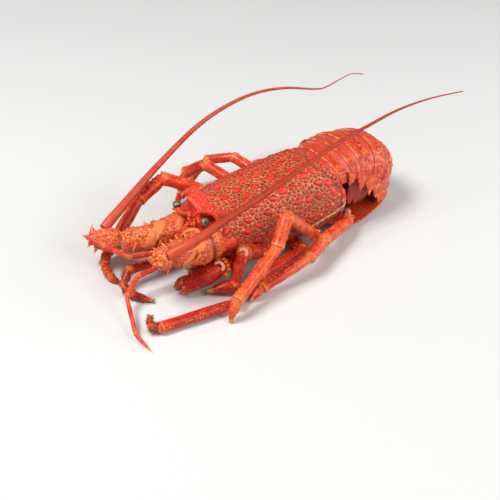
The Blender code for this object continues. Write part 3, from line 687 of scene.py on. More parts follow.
# place along the ring from front to rear, and how far the skin lies below its outer line
RING_STEPS = [
    (-0.06, 2.6), (0.0, 2.0), (0.1, 1.45), (0.3, 0.95), (0.46, 1.15), (0.515, 0.75), (0.55, 0.15), (0.7, 0.0),
    (0.9, 0.1), (0.97, 0.35), (1.0, 0.8), (1.005, 1.6),
]
SWIMMERET_TIPS = {3: (24, 61.5, 19), 4: (22.5, 69.5, 15.5), 5: (20, 77, 13.5)}
# where pitted strips begin and end along a ring, then where a bare band does and how pale it is painted
STRIPS = {
    1: [(0.6, 1.1)],
    2: [(0.6, 1.1)],
    3: [(0.62, 1.1)],
    4: [(0.0, 0.33), (0.62, 1.1)],
    5: [(0.25, 1.1)],
    6: [(0.3, 1.1)],
}
BARE_BANDS = {
    1: (0.1, 0.56, 1.0),
    2: (0.1, 0.54, 0.9),
    3: (0.08, 0.54, 0.85),
    4: (0.38, 0.58, 0.3),
    5: (0.0, 0.22, 0.6),
    6: (0.05, 0.26, 0.5),
}
# scales of the first three rings, then of the others: radius, room round each and tries
RING_SCALES = ([(0.6, 0.85, 0.35, 9000)], [(1.2, 1.7, 0.9, 300), (0.6, 1.0, 0.4, 9000)])


def plateau(t, start, end, soft):
    """1 between two places and 0 outside, with soft ends."""
    return clamp((t - start) / soft + 0.5) * clamp((end - t) / soft + 0.5)


for index in range(1, 7):
    curled = index > 3
    profile = smooth_path(RING_STEPS, 46 if curled else 40)
    grid = np.stack([tail_ring_row(index - 1 + t, shrink) for t, shrink in profile])
    shape = grid.shape[:2]
    flat, normals = grid.reshape(-1, 3), grid_normals(grid).reshape(-1, 3)
    along = profile[:, 0][:, None] + np.zeros(shape)
    column = np.arange(shape[1])[None] + np.zeros(shape)
    belly = column >= ARCH_COLUMNS
    strip = sum(plateau(along, start, end, 0.05) for start, end in STRIPS[index]) * ~belly
    allowed = np.nonzero(((strip > 0.9) & (along > 0.05) & (along < 0.96)).ravel())[0]
    scales = scatter(flat, allowed, RING_SCALES[curled], 30 + index)
    bumps = [(i, r, 0.3 * r) for i, r in scales]
    back = unit(np.gradient(grid, axis=0)).reshape(-1, 3)
    rise, rim, _, _ = raise_bumps(flat, normals, back, bumps, lambda r: 1.4, 0.7, 0.2, 40 + index)
    line = bell(along - 0.53, 0.025) + clamp((along - 0.94) / 0.04)
    # hairs also follow the rims of the scales, and the flanks above the lobes are thick with them
    flank = bell(column, 11) + bell(ARCH_COLUMNS - 1 - column, 11)
    shoulder = bell(np.abs(grid[..., 0]) - 20, 7)
    line += bell(rim.reshape(shape) - 0.15, 0.22) * strip * (0.2 + (0.8 if curled else 0.2) * shoulder)
    line += 0.35 * flank * (along > 0.25)
    strip = np.maximum(strip * (1 if curled else 0.6), flank * (along > 0.2) * ~belly)
    start, end, paleness = BARE_BANDS[index]
    # pale all round a little, as the band's own salmon colour, and much more on the shoulders, where it is a
    # painted highlight
    pale_share = paleness * (0.12 + 0.43 * shoulder)
    # painted shade: dark red in the crease in front of the raised strip and where the ring's front slides
    # under the ring before it; the belly below is all in painted shade
    groove = 0.85 * bell(along - 0.49, 0.018) + clamp((0.09 - along) / 0.06)
    ring_parts = [
        grid_part(
            (flat + normals * rise[:, None]).reshape(grid.shape),
            strip=strip,
            rim=rim_mask(rim, shape),
            pale=pale_share * plateau(along, start, end, 0.22) * (1 - flank) * ~belly,
            edge=clamp(line) * ~belly,
            deep=np.where(belly, 0.9, clamp(groove)),
        )
    ]
    for side in (1, -1):
        if index in LOBE_TIPS:
            ring_parts += tail_lobe(index, side)
        if index in SWIMMERET_TIPS:
            ring_parts.append(swimmeret(index, side))
    make_piece(f"tail_ring_{index}", ring_parts, smooth_shell)

# ---------------------------------------------------------------- tail fan
# Five thin leaves of the same chitin fan out from the last ring. They are folded forward under
# the tail, ribbed along their length, and end in a soft, fringed edge.

# half thickness, then the middle line as x, y, z and half width
FAN_LEAVES = {
    "middle": (1.2, [(0, 108, 4.4, 7), (0, 92, 2.6, 9), (0, 72, 1.4, 11), (0, 56, 1.4, 11), (0, 49, 1.4, 6)]),
    "inner": (0.8, [
        (10, 107, 6.6, 4.5), (13, 92, 4.9, 7.5), (15.5, 72, 3.6, 9.5), (17, 58, 3.6, 9), (17.5, 50, 3.6, 4.5),
    ]),
    "outer": (1.0, [
        (17, 104, 8.6, 4.5), (19.5, 92, 7, 7.5), (22, 72, 5.8, 9.5), (23.5, 60, 5.8, 8.5), (24, 52, 5.8, 4.5),
    ]),
}
FAN_STEPS, FAN_COLUMNS = 72, 96
# seven ribs run along each face of a leaf: 44 radians of waves over its width
RIB_WAVES, RIB_HEIGHT = 22, 0.16
EDGE_SPINE_STEPS = range(10, 69, 3)


def fan_leaf(spine, thickness, side):
    """One leaf with ribs along it and teeth on its outer edge."""
    stations = smooth_path(spine, FAN_STEPS)
    t = np.linspace(0, 1, FAN_STEPS)
    high = thickness * (1 - 0.45 * t)[:, None]
    grid = ring_grid(np.concatenate([stations * (side, 1, 1, 1), high], axis=1), FAN_COLUMNS, (0, 0, 1))
    a = round_turn(FAN_COLUMNS)[None]
    ripple = np.cos(np.cos(a) * RIB_WAVES)
    grid = grid + grid_normals(grid) * (RIB_HEIGHT * ripple * np.abs(np.sin(a)))[..., None]
    rib_tone = 0.5 + 0.5 * ripple + 0 * t[:, None]
    fringe = clamp((t - 0.7) / 0.25)[:, None] + 0.9 * (np.abs(np.cos(a)) > 0.955)
    # the leaves lie folded under the tail, so all of them get a little dark red painted shade
    parts = [grid_part(grid, strip=0.3 + 0.5 * rib_tone, rim=0.8, edge=clamp(fringe) * 0.8, deep=0.25)]
    edges = (1, -1) if spine[0][0] == 0 else (1,)
    for along in EDGE_SPINE_STEPS:
        x, y, z, wide = stations[along]
        for edge in edges:
            spot = (side * (x + edge * wide * 0.92), y, z)
            parts.append(thorn(spot, (side * edge * 0.8, -1, 0.1), 2.2, 0.7, 8, edge=0.8, strip=0.5, rim=0.8))
    return parts


for name, (thickness, spine) in FAN_LEAVES.items():
    sides = [("", 1)] if name == "middle" else [("_left", 1), ("_right", -1)]
    for ending, side in sides:
        make_piece(f"tail_fan_{name}{ending}", fan_leaf(spine, thickness, side), smooth_shell)

# ---------------------------------------------------------------- walking legs
# Ten legs of hollow chitin tubes, joined by soft skin with a hard knob at each side of a joint.
# The near ones are stretched forward over the table, the far ones are bent up. Rows of small
# spines run along them, and they end in a short claw with brown bristles and a yellow tip.

# joints from hip to tip: x, y, z and the radius of the tube beyond
LEFT_LEGS = {
    1: [
        (17, -34, 10, 5), (26, -45, 13, 4.3), (30, -59.4, 17, 6.4), (23, -86, 6.8, 4.4),
        (19.5, -87.5, 9.5, 2.6), (24, -76, 14, 2.2),
    ],
    2: [
        (18, -16, 10, 5), (30, -22, 15, 5.5), (34.7, -45.9, 26, 4.1), (39.6, -56, 7, 4.2),
        (32.5, -73, 3.7, 1.6),
    ],
    3: [
        (18, 6, 9, 5), (37, 8, 7, 5), (42, -36.5, 5.2, 4.2), (53.6, -66, 5, 3.9), (45, -120, 4.3, 2.8),
        (41, -125, 6, 2.2), (38, -122, 11, 1),
    ],
    4: [
        (18, 24, 10, 4.5), (35.7, 20.4, 14, 4.2), (40.4, -15.5, 47.5, 4.8), (48, -27.7, 32, 4.2),
        (60.6, -70.7, 14, 3.5), (63.2, -77.2, 0.7, 1),
    ],
    5: [
        (18, 44, 10, 4.5), (33, 55, 12.3, 4.6), (45.7, 17.7, 17, 4.4), (54.4, -3.3, 16, 3.6),
        (53, -42.3, 6.3, 2.6), (54.4, -53.3, 1.6, 1),
    ],
}
RIGHT_LEGS = {
    1: [
        (-17, -34, 10, 5), (-35.6, -29.7, 31, 5), (-52.3, -51, 38.6, 4.8), (-48.6, -73.3, 30.5, 4.4),
        (-33.5, -109, 9.3, 3.2), (-27.5, -115.5, 5, 2.6), (-15.5, -117.5, 3, 2.3), (-9.8, -114, 0.8, 1),
    ],
    2: [
        (-18, -10, 10, 4.5), (-34, 0, 27, 4.4), (-57.4, -9.3, 33, 4.5), (-70, -18, 22, 3),
        (-64.6, -25, 11, 2.4), (-62.9, -30.4, 0.7, 1),
    ],
    3: [
        (-18, 8, 10, 4.5), (-34, 22, 28, 4.2), (-57, 16.6, 31, 3.8), (-73, 3.7, 24, 2.8), (-76, -7, 9, 2.2),
        (-75, -13, 0.7, 1),
    ],
    4: [
        (-18, 26, 10, 4.5), (-33, 28, 12, 4.2), (-51, 34, 22, 3.8), (-55, 54, 14, 3), (-50, 76, 5, 2.3),
        (-47, 84, 0.7, 1),
    ],
    5: [
        (-18, 43, 10, 4.2), (-31.5, 54.5, 12.3, 4), (-41, 68, 13, 3.5), (-43, 84, 9, 2.8), (-39, 101, 4, 2.2),
        (-36, 108, 0.7, 1),
    ],
}
# place along a tube and share of its radius
CLAW_SHAPE = [
    (-0.06, 0.5), (0.02, 0.85), (0.1, 0.96), (0.3, 1.0), (0.6, 0.76), (0.85, 0.4), (0.95, 0.22), (1.0, 0.08),
]
TUBE_SHAPE = [(0.0, 0.8), (0.04, 0.9), (0.12, 0.92), (0.4, 1.0), (0.75, 0.94), (0.9, 1.0), (0.97, 1.05)]
CLUB_SHAPE = [(0.0, 0.7), (0.06, 0.85), (0.2, 1.0), (0.45, 1.06), (0.7, 0.98), (0.88, 0.86), (0.96, 0.74)]
TUBE_STEP = 0.6
TUBE_COLUMNS, CLUB_COLUMNS = 30, 56


def limb_tube(start, end, kind, warm):
    """One tube of a limb between two joints: plain, a club with a round end, or the last claw."""
    a, b, radius = start[:3], end[:3], start[3]
    length = np.linalg.norm(b - a)
    cap = min(0.5 * radius / length, 0.2)
    shape = CLAW_SHAPE
    if kind == "tube":
        shape = [(-0.5 * cap, 0.5), *TUBE_SHAPE, (0.995, 1.0), (1.0 + 0.15 * cap, 0.84), (1.0 + cap, 0.45)]
    if kind == "club":
        shape = [(-0.5 * cap, 0.4), *CLUB_SHAPE, (1.0 + 0.2 * cap, 0.55), (1.0 + 0.5 * cap, 0.1)]
    profile = smooth_path(shape, max(28, int(length / TUBE_STEP)))
    t, girth = profile[:, :1], profile[:, 1:] * radius
    turn = round_turn(CLUB_COLUMNS if kind == "club" else TUBE_COLUMNS)[None]
    rows = np.concatenate([a + (b - a) * t, girth * 0.97, girth], axis=1)
    grid = ring_grid(rows, turn.size, off_axis((b - a) / length))
    # the tubes are slightly angular, and uneven like anything that has grown
    hump = clamp(np.sin(math.pi * clamp(t)))
    lumps = 0.03 * np.cos(2 * turn + 0.6) + 0.018 * np.cos(5 * turn + 3 * t)
    lumps = lumps + 0.02 * np.sin(length * t / 2.1 + 2 * np.cos(turn + a[1]))
    # a club is furrowed along its sides
    furrow = bell(np.sin(turn - 0.8 * t) - 0.25, 0.13) * hump**0.5 * (kind == "club")
    grid = grid + grid_normals(grid) * (radius * lumps * hump - 0.7 * furrow)[..., None]
    to_end = (1 - t) * length
    crack = bell(to_end - 0.2, 0.28) + bell(t * length - 0.3, 0.4)
    crack = crack * (0.5 + 0.3 * np.cos(turn + a[0]))
    return grid_part(
        grid,
        joint=clamp(0.4 - to_end) * (kind == "tube"),
        crack=clamp(crack * (kind != "claw") + 0.7 * furrow),
        tip=clamp((t - 0.72) / 0.25) * (kind == "claw"),
        knob=0.55 * bell(to_end - 1.3, 1.0) * (kind == "tube"),
        warm=warm + 0.2 * (bell(t, 0.1) + bell(t - 1, 0.1)),
    )


def limb_parts(joints, warm, seed, clubs=()):
    """All tubes of a limb, with knobs at the joints and rows of short spines."""
    draw = np.random.default_rng(seed)
    joints = np.array(joints, float)
    parts = []
    for i, (near, far) in enumerate(zip(joints, joints[1:])):
        kind = "claw" if i == len(joints) - 2 else "club" if i in clubs else "tube"
        parts.append(limb_tube(near, far, kind, warm))
    for before, joint, after in zip(joints, joints[1:], joints[2:]):
        start, middle, girth = before[:3], joint[:3], joint[3]
        one, two = unit(middle - start), unit(after[:3] - middle)
        hinge = np.cross(one, two)
        if np.linalg.norm(hinge) < 0.15:
            continue
        hinge = unit(hinge)
        bend = unit(one - two)
        for side in (1, -1):
            parts.append(dome(middle + hinge * side * girth * 0.85, girth * 0.27, 9, knob=1.0, warm=warm))
        # short yellow-tipped spines on the far rim of each tube, most of them on the outer bend
        for turn in (-0.9, -0.3, 0.2, 0.8):
            out = unit(bend + hinge * turn)
            root = middle + out * girth * 0.9 - one * girth * 0.3
            length = girth * draw.uniform(0.3, 0.55)
            parts.append(thorn(root, out * 0.5 + one, length, girth * 0.22, 8, warm=warm + 0.3))
        # and a row of tiny ones along the tube before the joint, on each side of its ridge
        count = int(np.linalg.norm(middle - start) / 3)
        for turn in (-1.1, 0.0, 1.1) if before[3] > 2.1 else ():
            for t in draw.uniform(0.1, 0.9, count):
                out = unit(bend + hinge * (turn + draw.normal(0, 0.12)))
                out = unit(out - one * (out @ one))
                root = start * (1 - t) + middle * t + out * before[3] * 0.93
                long = draw.uniform(0.6, 1.2)
                parts.append(thorn(root, out + one * 0.9, long, 0.5, 5, warm=warm + 0.35, knob=0.25))
    return parts


def joint_crescent(centre, arc):
    """A pale, swollen crescent of the soft skin between two tubes."""
    along, across = np.array([0.62, 0.78, 0.07]), np.array([-0.51, 0.34, 0.79])
    turns = np.radians(np.linspace(125, -30, 14))
    spots = [centre + arc * (math.cos(a) * along + math.sin(a) * across) for a in turns]
    return [dome(spot, 1.15, 9, pale=1.0, warm=0.3) for spot in spots]


def bristles(joints, first, count, length, seed):
    """Bristles on the last tubes of a limb, from the given joint on."""
    draw = np.random.default_rng(seed)
    roots, ways = [], []
    last = len(joints) - 2
    for i in range(first, last + 1):
        near, far = np.array(joints[i], float), np.array(joints[i + 1], float)
        way = unit(far[:3] - near[:3])
        for _ in range(count):
            t = draw.uniform(0.05, 0.95)
            out = draw.normal(0, 1, 3)
            out = unit(out - way * (out @ way))
            girth = near[3] * (1 - 0.75 * t) if i == last else near[3]
            roots.append(near[:3] + (far[:3] - near[:3]) * t + out * girth * 0.85)
            ways.append(out + way * 0.9)
    return hairs(roots, ways, length, 0.17, seed + 1, hair=1.0)


# Boiled leg chitin: orange-red with a wet gloss, fine raised straw-coloured grains and dark pits,
# orange rims and knobs, dark cracks at the joints, a yellow claw tip and brown bristles. Legs that
# lie in shade under the head are painted darker red as painted shade.
LEG_LAYERS = {
    "joint": "DC6A44", "knob": "F0823C", "crack": "7C1E0C", "pale": "E89C80", "tip": "E8A438",
    "spine": "F4A444", "hair": "8E5A2C",
}
leg_shell, tree, place, masks = new_material("boiled_leg_chitin", "warm", *LEG_LAYERS)
# clouds of 6 mm, patches of 9 mm, pores of 1 mm, and pits of 0.8 mm, one in every 3 mm
cloud = add_node(tree, "TexNoise", {"Vector": place, "Scale": 170.0, "Detail": 5.0, "Roughness": 0.7})
patch = add_node(tree, "TexNoise", {"Vector": place, "Scale": 110.0, "Detail": 2.0})
grain = add_node(tree, "TexNoise", {"Vector": place, "Scale": 900.0, "Detail": 2.0})
pits = add_node(tree, "TexVoronoi", {"Vector": place, "Scale": 330.0})
# straw-coloured grains of 0.7 mm, one in every 1.6 mm, in patches
dots = add_node(tree, "TexVoronoi", {"Vector": place, "Scale": 620.0})
# each leg's warmth, with random clouds, picks a red from dark to orange; the dark reds of the shaded legs are
# painted shade
tint_and_shade_level = add_node(tree, "Math", {0: masks["warm"], 1: cloud}, operation="ADD")
TINT_AND_SHADE_TONES = [(0.42, "8C1206"), (0.62, "B4220E"), (0.8, "D03416"), (0.92, "DE4A22"), (1.0, "EA6630")]
skin_colour = add_node(tree, "ValToRGB", {"Fac": tint_and_shade_level}, TINT_AND_SHADE_TONES)
DOT_TONES = [(0.0, "FFFFFF"), (0.16, "FFFFFF"), (0.26, "000000")]
dot_tone = add_node(tree, "ValToRGB", {"Fac": dots}, DOT_TONES)
patch_range = {"Value": patch, "From Min": 0.38, "From Max": 0.6, "To Min": 0.1, "To Max": 0.95}
patch_tone = add_node(tree, "MapRange", patch_range)
dot_share = add_node(tree, "Math", {0: dot_tone, 1: patch_tone}, operation="MULTIPLY")
dotted = add_node(tree, "MixRGB", {"Fac": dot_share, "Color1": skin_colour, "Color2": "F49C58"})
PIT_DEPTHS = [(0.0, "6E2414"), (0.09, "8A3018"), (0.15, "FFFFFF")]
pit_tone = add_node(tree, "ValToRGB", {"Fac": pits}, PIT_DEPTHS)
pitted = add_node(tree, "MixRGB", {"Fac": 0.5, "Color1": dotted, "Color2": pit_tone}, blend_type="MULTIPLY")
wetness = add_node(tree, "MapRange", {"Value": grain, "To Min": 0.25, "To Max": 0.45})
relief = add_node(tree, "Bump", {"Height": grain, "Strength": 0.2, "Distance": 0.0003})
relief = add_node(tree, "Bump", {"Height": dot_share, "Normal": relief, "Strength": 0.35, "Distance": 0.0003})
colour = paint_layers(tree, pitted, masks, LEG_LAYERS)
shell_surface(tree, colour, wetness, relief, ior=1.4, film=0.1, film_roughness=0.2)

# middle and radius of the crescents on the first two left legs: pale joint skin on both, and on the second
# leg's knee also a painted highlight
JOINT_CRESCENTS = {1: ((32.3, -64.3, 20.6), 3.2), 2: ((36.9, -47.9, 28.3), 2.5)}
# swollen, pale skin shows where the last leg leaves the chest: place and radius
HIP_SKIN = (((29, 56, 11.5), 3.8), ((26.5, 59, 14), 3.0), ((31, 53.5, 14.5), 2.4))
# how warm each leg's red is: the left legs 1 to 3, tucked under the head, are darker red as painted shade,
# and the left legs 4 and 5, out in the light, lighter orange as painted light
LEG_TINT_AND_SHADE = {"left": (0.1, 0.18, 0.14, 0.4, 0.38), "right": (0.3, 0.32, 0.34, 0.3, 0.3)}
# count and length of the bristles, and how many tubes carry them
LEG_BRISTLES = {
    "left": ((150, 2.0, 2), (60, 1.6, 1), (130, 3.0, 2), (60, 1.8, 1), (60, 1.6, 1)),
    "right": ((110, 2.2, 3), (120, 2.4, 2), (90, 2.0, 2), (60, 1.6, 1), (60, 1.6, 1)),
}
for side, legs in (("left", LEFT_LEGS), ("right", RIGHT_LEGS)):
    mirror = 1 if side == "left" else -1
    for number, joints in legs.items():
        clubs = (2,) if side == "left" and number == 1 else ()
        parts = limb_parts(joints, LEG_TINT_AND_SHADE[side][number - 1], 100 + number, clubs)
        count, length, tubes = LEG_BRISTLES[side][number - 1]
        parts.append(bristles(joints, len(joints) - 1 - tubes, count, length, 200 + number))
        if number == 5:
            for (x, y, z), radius in HIP_SKIN:
                parts.append(dome((mirror * x, y, z), radius, 14, pale=0.65, warm=0.3))
        if side == "left" and number in JOINT_CRESCENTS:
            parts += joint_crescent(*JOINT_CRESCENTS[number])
        make_piece(f"leg_{side}_{number}", parts, leg_shell)

# ---------------------------------------------------------------- feelers
# Each long feeler stands on three stout, spiny joints in front of the head. The feeler is a
# stiff whip of hundreds of short rings, swept back over the body.

# x, y, z, half width, half height
BASE_LEFT = [
    (15, -57, 27, 9, 9.5), (17, -62, 28.5, 11.5, 12), (17.5, -74, 30, 11, 11), (17.5, -78, 31, 8.2, 8.6),
    (18, -84, 32.5, 8.8, 9), (19, -91, 34, 8, 8.4), (19.3, -94, 34.5, 6.6, 7), (19.8, -102, 35, 7.2, 7.4),
    (19.6, -106.5, 35, 4, 4.4),
]
BASE_RIGHT = [
    (-13.5, -57, 26, 8, 8.5), (-12.5, -66, 27, 9, 10), (-12.5, -78, 26, 8.6, 9.4),
    (-14, -84, 25.5, 8.8, 10.2), (-15.5, -91, 25, 8.2, 9.2), (-20, -99, 24, 8, 8.8),
    (-22.5, -102.5, 23.5, 6.8, 7.4), (-30.5, -110.5, 23, 7.6, 7.8), (-37, -117, 22.5, 4.4, 4.8),
]
# x, y, z, radius
WHIP_LEFT = [
    (25.2, -100.2, 41, 3.6), (28.2, -90.4, 45.5, 3.4), (29.4, -75, 50, 3), (29.4, -55.1, 56, 2.6),
    (29.5, -27.4, 63, 2.2), (25.1, 10.8, 70, 1.8), (20.5, 51.5, 76, 1.4), (20.3, 71.4, 79, 1.2),
    (19.9, 102.9, 83, 0.9), (21.6, 134.5, 84, 0.6), (28.2, 163, 85, 0.4),
]
WHIP_RIGHT = [
    (-35, -110, 29, 3.7), (-37, -104, 32, 3.5), (-41.5, -91.5, 36, 3.2), (-49.2, -71.5, 42, 2.8),
    (-57.5, -49.5, 48, 2.3), (-69.2, -11.9, 58, 1.8), (-75.6, 19.1, 63, 1.5), (-76.6, 48.8, 66, 1.2),
    (-71.4, 74.6, 66, 1), (-63, 99.7, 62, 0.7), (-62.4, 111.9, 61, 0.6), (-66.5, 139.3, 62, 0.4),
    (-61.5, 150, 62, 0.4),
]
# tips of the larger spines
LEFT_SPINES = [
    (10.5, -89, 40), (10, -84.5, 41.5), (18.5, -88.5, 44), (11, -96, 40.5), (19.8, -107.5, 44.5),
    (19.5, -110.5, 41.5), (23, -110.5, 41), (25.5, -110.5, 38), (28.5, -107, 38), (26, -101, 26.5),
    (13, -108, 33), (12, -103, 40), (27.5, -95, 40.5), (28.5, -90, 29), (13, -79, 42.5),
]
RIGHT_SPINES = [
    (-42.1, -115.8, 30.5), (-42.5, -123, 23.5), (-36, -123, 17.5), (-31, -121, 14.5), (-20.5, -81.5, 35),
    (-19.5, -76, 34), (-23.5, -96.5, 32.5), (-22, -106.5, 33.5), (-34, -108, 31), (-22, -87.5, 34.5),
    (-41, -119, 17), (-15, -101, 33.5), (-10, -95.5, 32), (-27, -113, 31.5), (-25, -99.5, 14),
]
# smooth plates: middle line and half width
LEFT_PLATES = [([(26, -87, 31), (26.5, -82, 33), (26.5, -77, 35.5), (25.5, -73, 38)], 2.6)]
RIGHT_PLATES = [
    ([(-12, -80.8, 35.3), (-9, -84.5, 34.2), (-7, -89, 30.5), (-6, -92.5, 25)], 4.2),
    ([(-11, -63, 37), (-7, -67, 35.5), (-4, -70, 32)], 2.6),
]
# pale rims where one joint hinges on the next: x, y, z, half width, half height
LEFT_CRESCENTS = [
    [
        (4.7, -76, 33.2, 0.4, 0.5), (6.4, -71.6, 37, 1.3, 1.1), (9.6, -68.3, 38.8, 1.7, 1.3),
        (13.6, -68.6, 40.4, 1.5, 1.2), (17.4, -70.2, 41.2, 0.4, 0.4),
    ],
    [
        (25.4, -89.3, 38.6, 0.3, 0.3), (25.4, -83.3, 37.4, 0.8, 0.8), (24.1, -77.1, 36, 0.9, 0.9),
        (23.9, -72, 38.6, 0.3, 0.3),
    ],
    [
        (24.6, -87.2, 26.9, 0.3, 0.3), (24.6, -80.8, 26.8, 0.9, 0.9), (27, -76.6, 31.4, 1, 1),
        (26.8, -72, 35.8, 0.3, 0.3),
    ],
    [
        (20.1, -97.2, 42.1, 0.4, 0.4), (23.2, -101.7, 41.6, 0.9, 0.9), (26.1, -102.2, 38.7, 1, 1),
        (26.8, -98.4, 34.8, 0.4, 0.4),
    ],
]
RIGHT_CRESCENTS = [
    [
        (-14, -79.1, 34.9, 0.3, 0.3), (-9.2, -81.8, 34.4, 0.7, 0.7), (-6.2, -86.5, 30.2, 0.8, 0.8),
        (-7, -90, 22.7, 0.3, 0.3),
    ],
    [
        (-12.8, -98.3, 31, 0.3, 0.3), (-11.6, -100.4, 26.7, 0.8, 0.8), (-12.5, -101.4, 21.3, 0.8, 0.8),
        (-16.2, -101.7, 16.8, 0.3, 0.3),
    ],
]


BASE_STEPS, BASE_COLUMNS = 124, 116
TUFTS = 160
# places of the grooves between the joints, counted in stations
JOINT_GROOVES = (3.2, 6.2)
WHIP_STEPS, WHIP_COLUMNS = 900, 14
# length of the rings of a whip at its root and its tip
WHIP_RINGS = (1.4, 1.0)


def away_from(points, line):
    """Distance of each point from a line through some places."""
    way = smooth_path(line, 24)
    return np.sqrt(((points[:, None] - way[None]) ** 2).sum(-1).min(1))


def antenna_base(stations, spines, plates, crescents, neck_y, seed):
    """Three swollen joints with granules, smooth plates, pale hinge rims and spines."""
    path = smooth_path(stations, BASE_STEPS)
    grid = ring_grid(path, BASE_COLUMNS)
    shape = grid.shape[:2]
    flat, normals = grid.reshape(-1, 3), grid_normals(grid).reshape(-1, 3)
    back = unit(np.gradient(grid, axis=0)).reshape(-1, 3)
    t = np.linspace(0, len(stations) - 1, BASE_STEPS)
    to_groove = np.minimum(*(np.abs(t - place) for place in JOINT_GROOVES))
    groove = bell(to_groove, 0.16)[:, None] + np.zeros(shape)
    bald = np.zeros(len(flat))
    for line, half in plates:
        bald = np.maximum(bald, clamp((half - away_from(flat, line)) / 0.7))
    neck = bell(flat[:, 1] - neck_y, 1.7)
    open_skin = (1 - neck) * (bald < 0.05)
    allowed = np.nonzero((groove.ravel() < 0.3) & (bald < 0.05) & (neck < 0.4))[0]
    scales = scatter(flat, allowed, [(1.1, 1.5, 2.4, 160), (0.45, 0.8, 0.45, 9000)], seed)
    bumps = [(i, r, 0.95 if r > 1 else 0.7 * r) for i, r in scales]
    rise, rim, gap, _ = raise_bumps(flat, normals, back, bumps, lambda r: 1.3, 0.6, 0.3, seed + 1)
    rim = np.where(bald > 0.05, 1.2, rim)
    rise = rise - 1.1 * groove.ravel() - 0.9 * neck + 0.7 * bald
    lean = back * (rise * 0.5 * (rise > 0.5))[:, None]
    parts = [
        grid_part(
            (flat + normals * rise[:, None] + lean).reshape(grid.shape),
            rim=rim_mask(rim, shape),
            groove=np.maximum(groove, neck.reshape(shape)),
            plate=bald.reshape(shape) * 0.85,
            pale=(0.55 * clamp(1.1 - gap / 0.6) * clamp(rim / 0.1) * open_skin).reshape(shape),
        )
    ]
    far_end = np.array(stations[-1][:3])
    for tip in np.array(spines, float):
        middle = path[((path[:, :3] - tip) ** 2).sum(1).argmin()]
        out = unit(tip - middle[:3])
        root = middle[:3] + out * min(middle[3], middle[4]) * 0.85 - unit(far_end - middle[:3]) * 1.8
        length = np.linalg.norm(tip - root)
        parts.append(thorn(root, tip - root, length, min(2.6, length * 0.5), rim=0.3))
    for i, r in scales[::13]:
        parts.append(thorn(flat[i], normals[i] + 0.7 * back[i], 1.3 + r, 0.85, 8, rim=0.3))
    for line in crescents:
        parts.append(grid_part(ring_grid(smooth_path(line, 30), 14), rim=1.0, pale=0.75))
    tufts = np.random.default_rng(seed + 2).choice(allowed, TUFTS)
    parts.append(hairs(flat[tufts], normals[tufts] + back[tufts], 1.6, 0.1, seed + 3, 0.1, hair=1.0))
    return parts


def whip(route, pale):
    """A whip of short rings, each a little wider at its far end, in a lighter or darker red."""
    path = smooth_path(route, WHIP_STEPS)
    places = path[:, :3]
    run = np.concatenate([[0], np.cumsum(np.linalg.norm(np.diff(places, axis=0), axis=1))])
    phase = (run / np.interp(run, [0, run[-1]], WHIP_RINGS)) % 1.0
    girth = (path[:, 3] * (1 + (0.02 + 0.07 * pale) * (phase - 0.5)))[:, None]
    grid = ring_grid(np.concatenate([places, girth, girth], axis=1), WHIP_COLUMNS)
    return [grid_part(grid, ring=phase[:, None], along=(run / run[-1])[:, None], pale=pale)]


# Boiled spiny chitin: joints of orange-red with straw-coloured granules, pale smooth plates and
# yellow spine tips, with a wet gloss.
SPINY_LAYERS = {"groove": "7A2410", "plate": "F28A50", "pale": "EC9258", "spine": "F4BC30", "hair": "E8C070"}
spiny, tree, place, masks = new_material("boiled_spiny_chitin", "rim", *SPINY_LAYERS)
# clouds of 7 mm, specks of 2 mm and pores of 0.9 mm
cloud = add_node(tree, "TexNoise", {"Vector": place, "Scale": 150.0, "Detail": 4.0})
speck = add_node(tree, "TexNoise", {"Vector": place, "Scale": 520.0, "Detail": 2.0})
grain = add_node(tree, "TexNoise", {"Vector": place, "Scale": 1100.0, "Detail": 2.0})
GRANULE_ZONES = [
    (0.1, "E2462A"), (0.3, "D2361C"), (0.35, "AE3014"), (0.42, "DE6C3A"), (0.6, "DA5428"), (1.0, "C8441E"),
]
zones = add_node(tree, "ValToRGB", {"Fac": masks["rim"]}, GRANULE_ZONES)
cloud_tone = add_node(tree, "ValToRGB", {"Fac": cloud}, [(0.3, "F2B8A0"), (0.6, "FFFFFF")])
mottled = add_node(tree, "MixRGB", {"Fac": 0.7, "Color1": zones, "Color2": cloud_tone}, blend_type="MULTIPLY")
straw = add_node(tree, "MapRange", {"Value": speck, "From Min": 0.56, "From Max": 0.64, "To Max": 0.65})
specked = add_node(tree, "MixRGB", {"Fac": straw, "Color1": mottled, "Color2": "F2A062"})
relief = add_node(tree, "Bump", {"Height": grain, "Strength": 0.25, "Distance": 0.0003})
colour = paint_layers(tree, specked, masks, SPINY_LAYERS)
shell_surface(tree, colour, 0.34, relief, ior=1.4, film=0.12, film_roughness=0.2)

# Boiled ringed chitin: a half-matt whip of dark and light red rings, more orange at its root.
ringed_shell, tree, place, masks = new_material("boiled_ringed_chitin", "ring", "along", "pale")
# clouds of 5 mm
cloud = add_node(tree, "TexNoise", {"Vector": place, "Scale": 200.0, "Detail": 3.0})
root_share = add_node(tree, "MapRange", {"Value": masks["along"], "From Max": 0.16})
whip_colour = add_node(tree, "MixRGB", {"Fac": root_share, "Color1": "DC562C", "Color2": "B03418"})
lightened = paint_layers(tree, whip_colour, masks, {"pale": "DC6046"})
cloud_tone = add_node(tree, "ValToRGB", {"Fac": cloud}, [(0.3, "E8C8B8"), (0.6, "FFFFFF")])
clouded = add_node(
    tree, "MixRGB", {"Fac": 0.8, "Color1": lightened, "Color2": cloud_tone}, blend_type="MULTIPLY"
)
# a ring is dark where it enters the one before it and has a straw-coloured far rim
RING_TONES = [
    (0.0, "A86858"), (0.25, "E4C0B4"), (0.45, "FFFFFF"), (0.8, "FFFFFF"), (0.92, "FFF0B8"), (1.0, "B87460"),
]
ring_shade = add_node(tree, "ValToRGB", {"Fac": masks["ring"]}, RING_TONES)
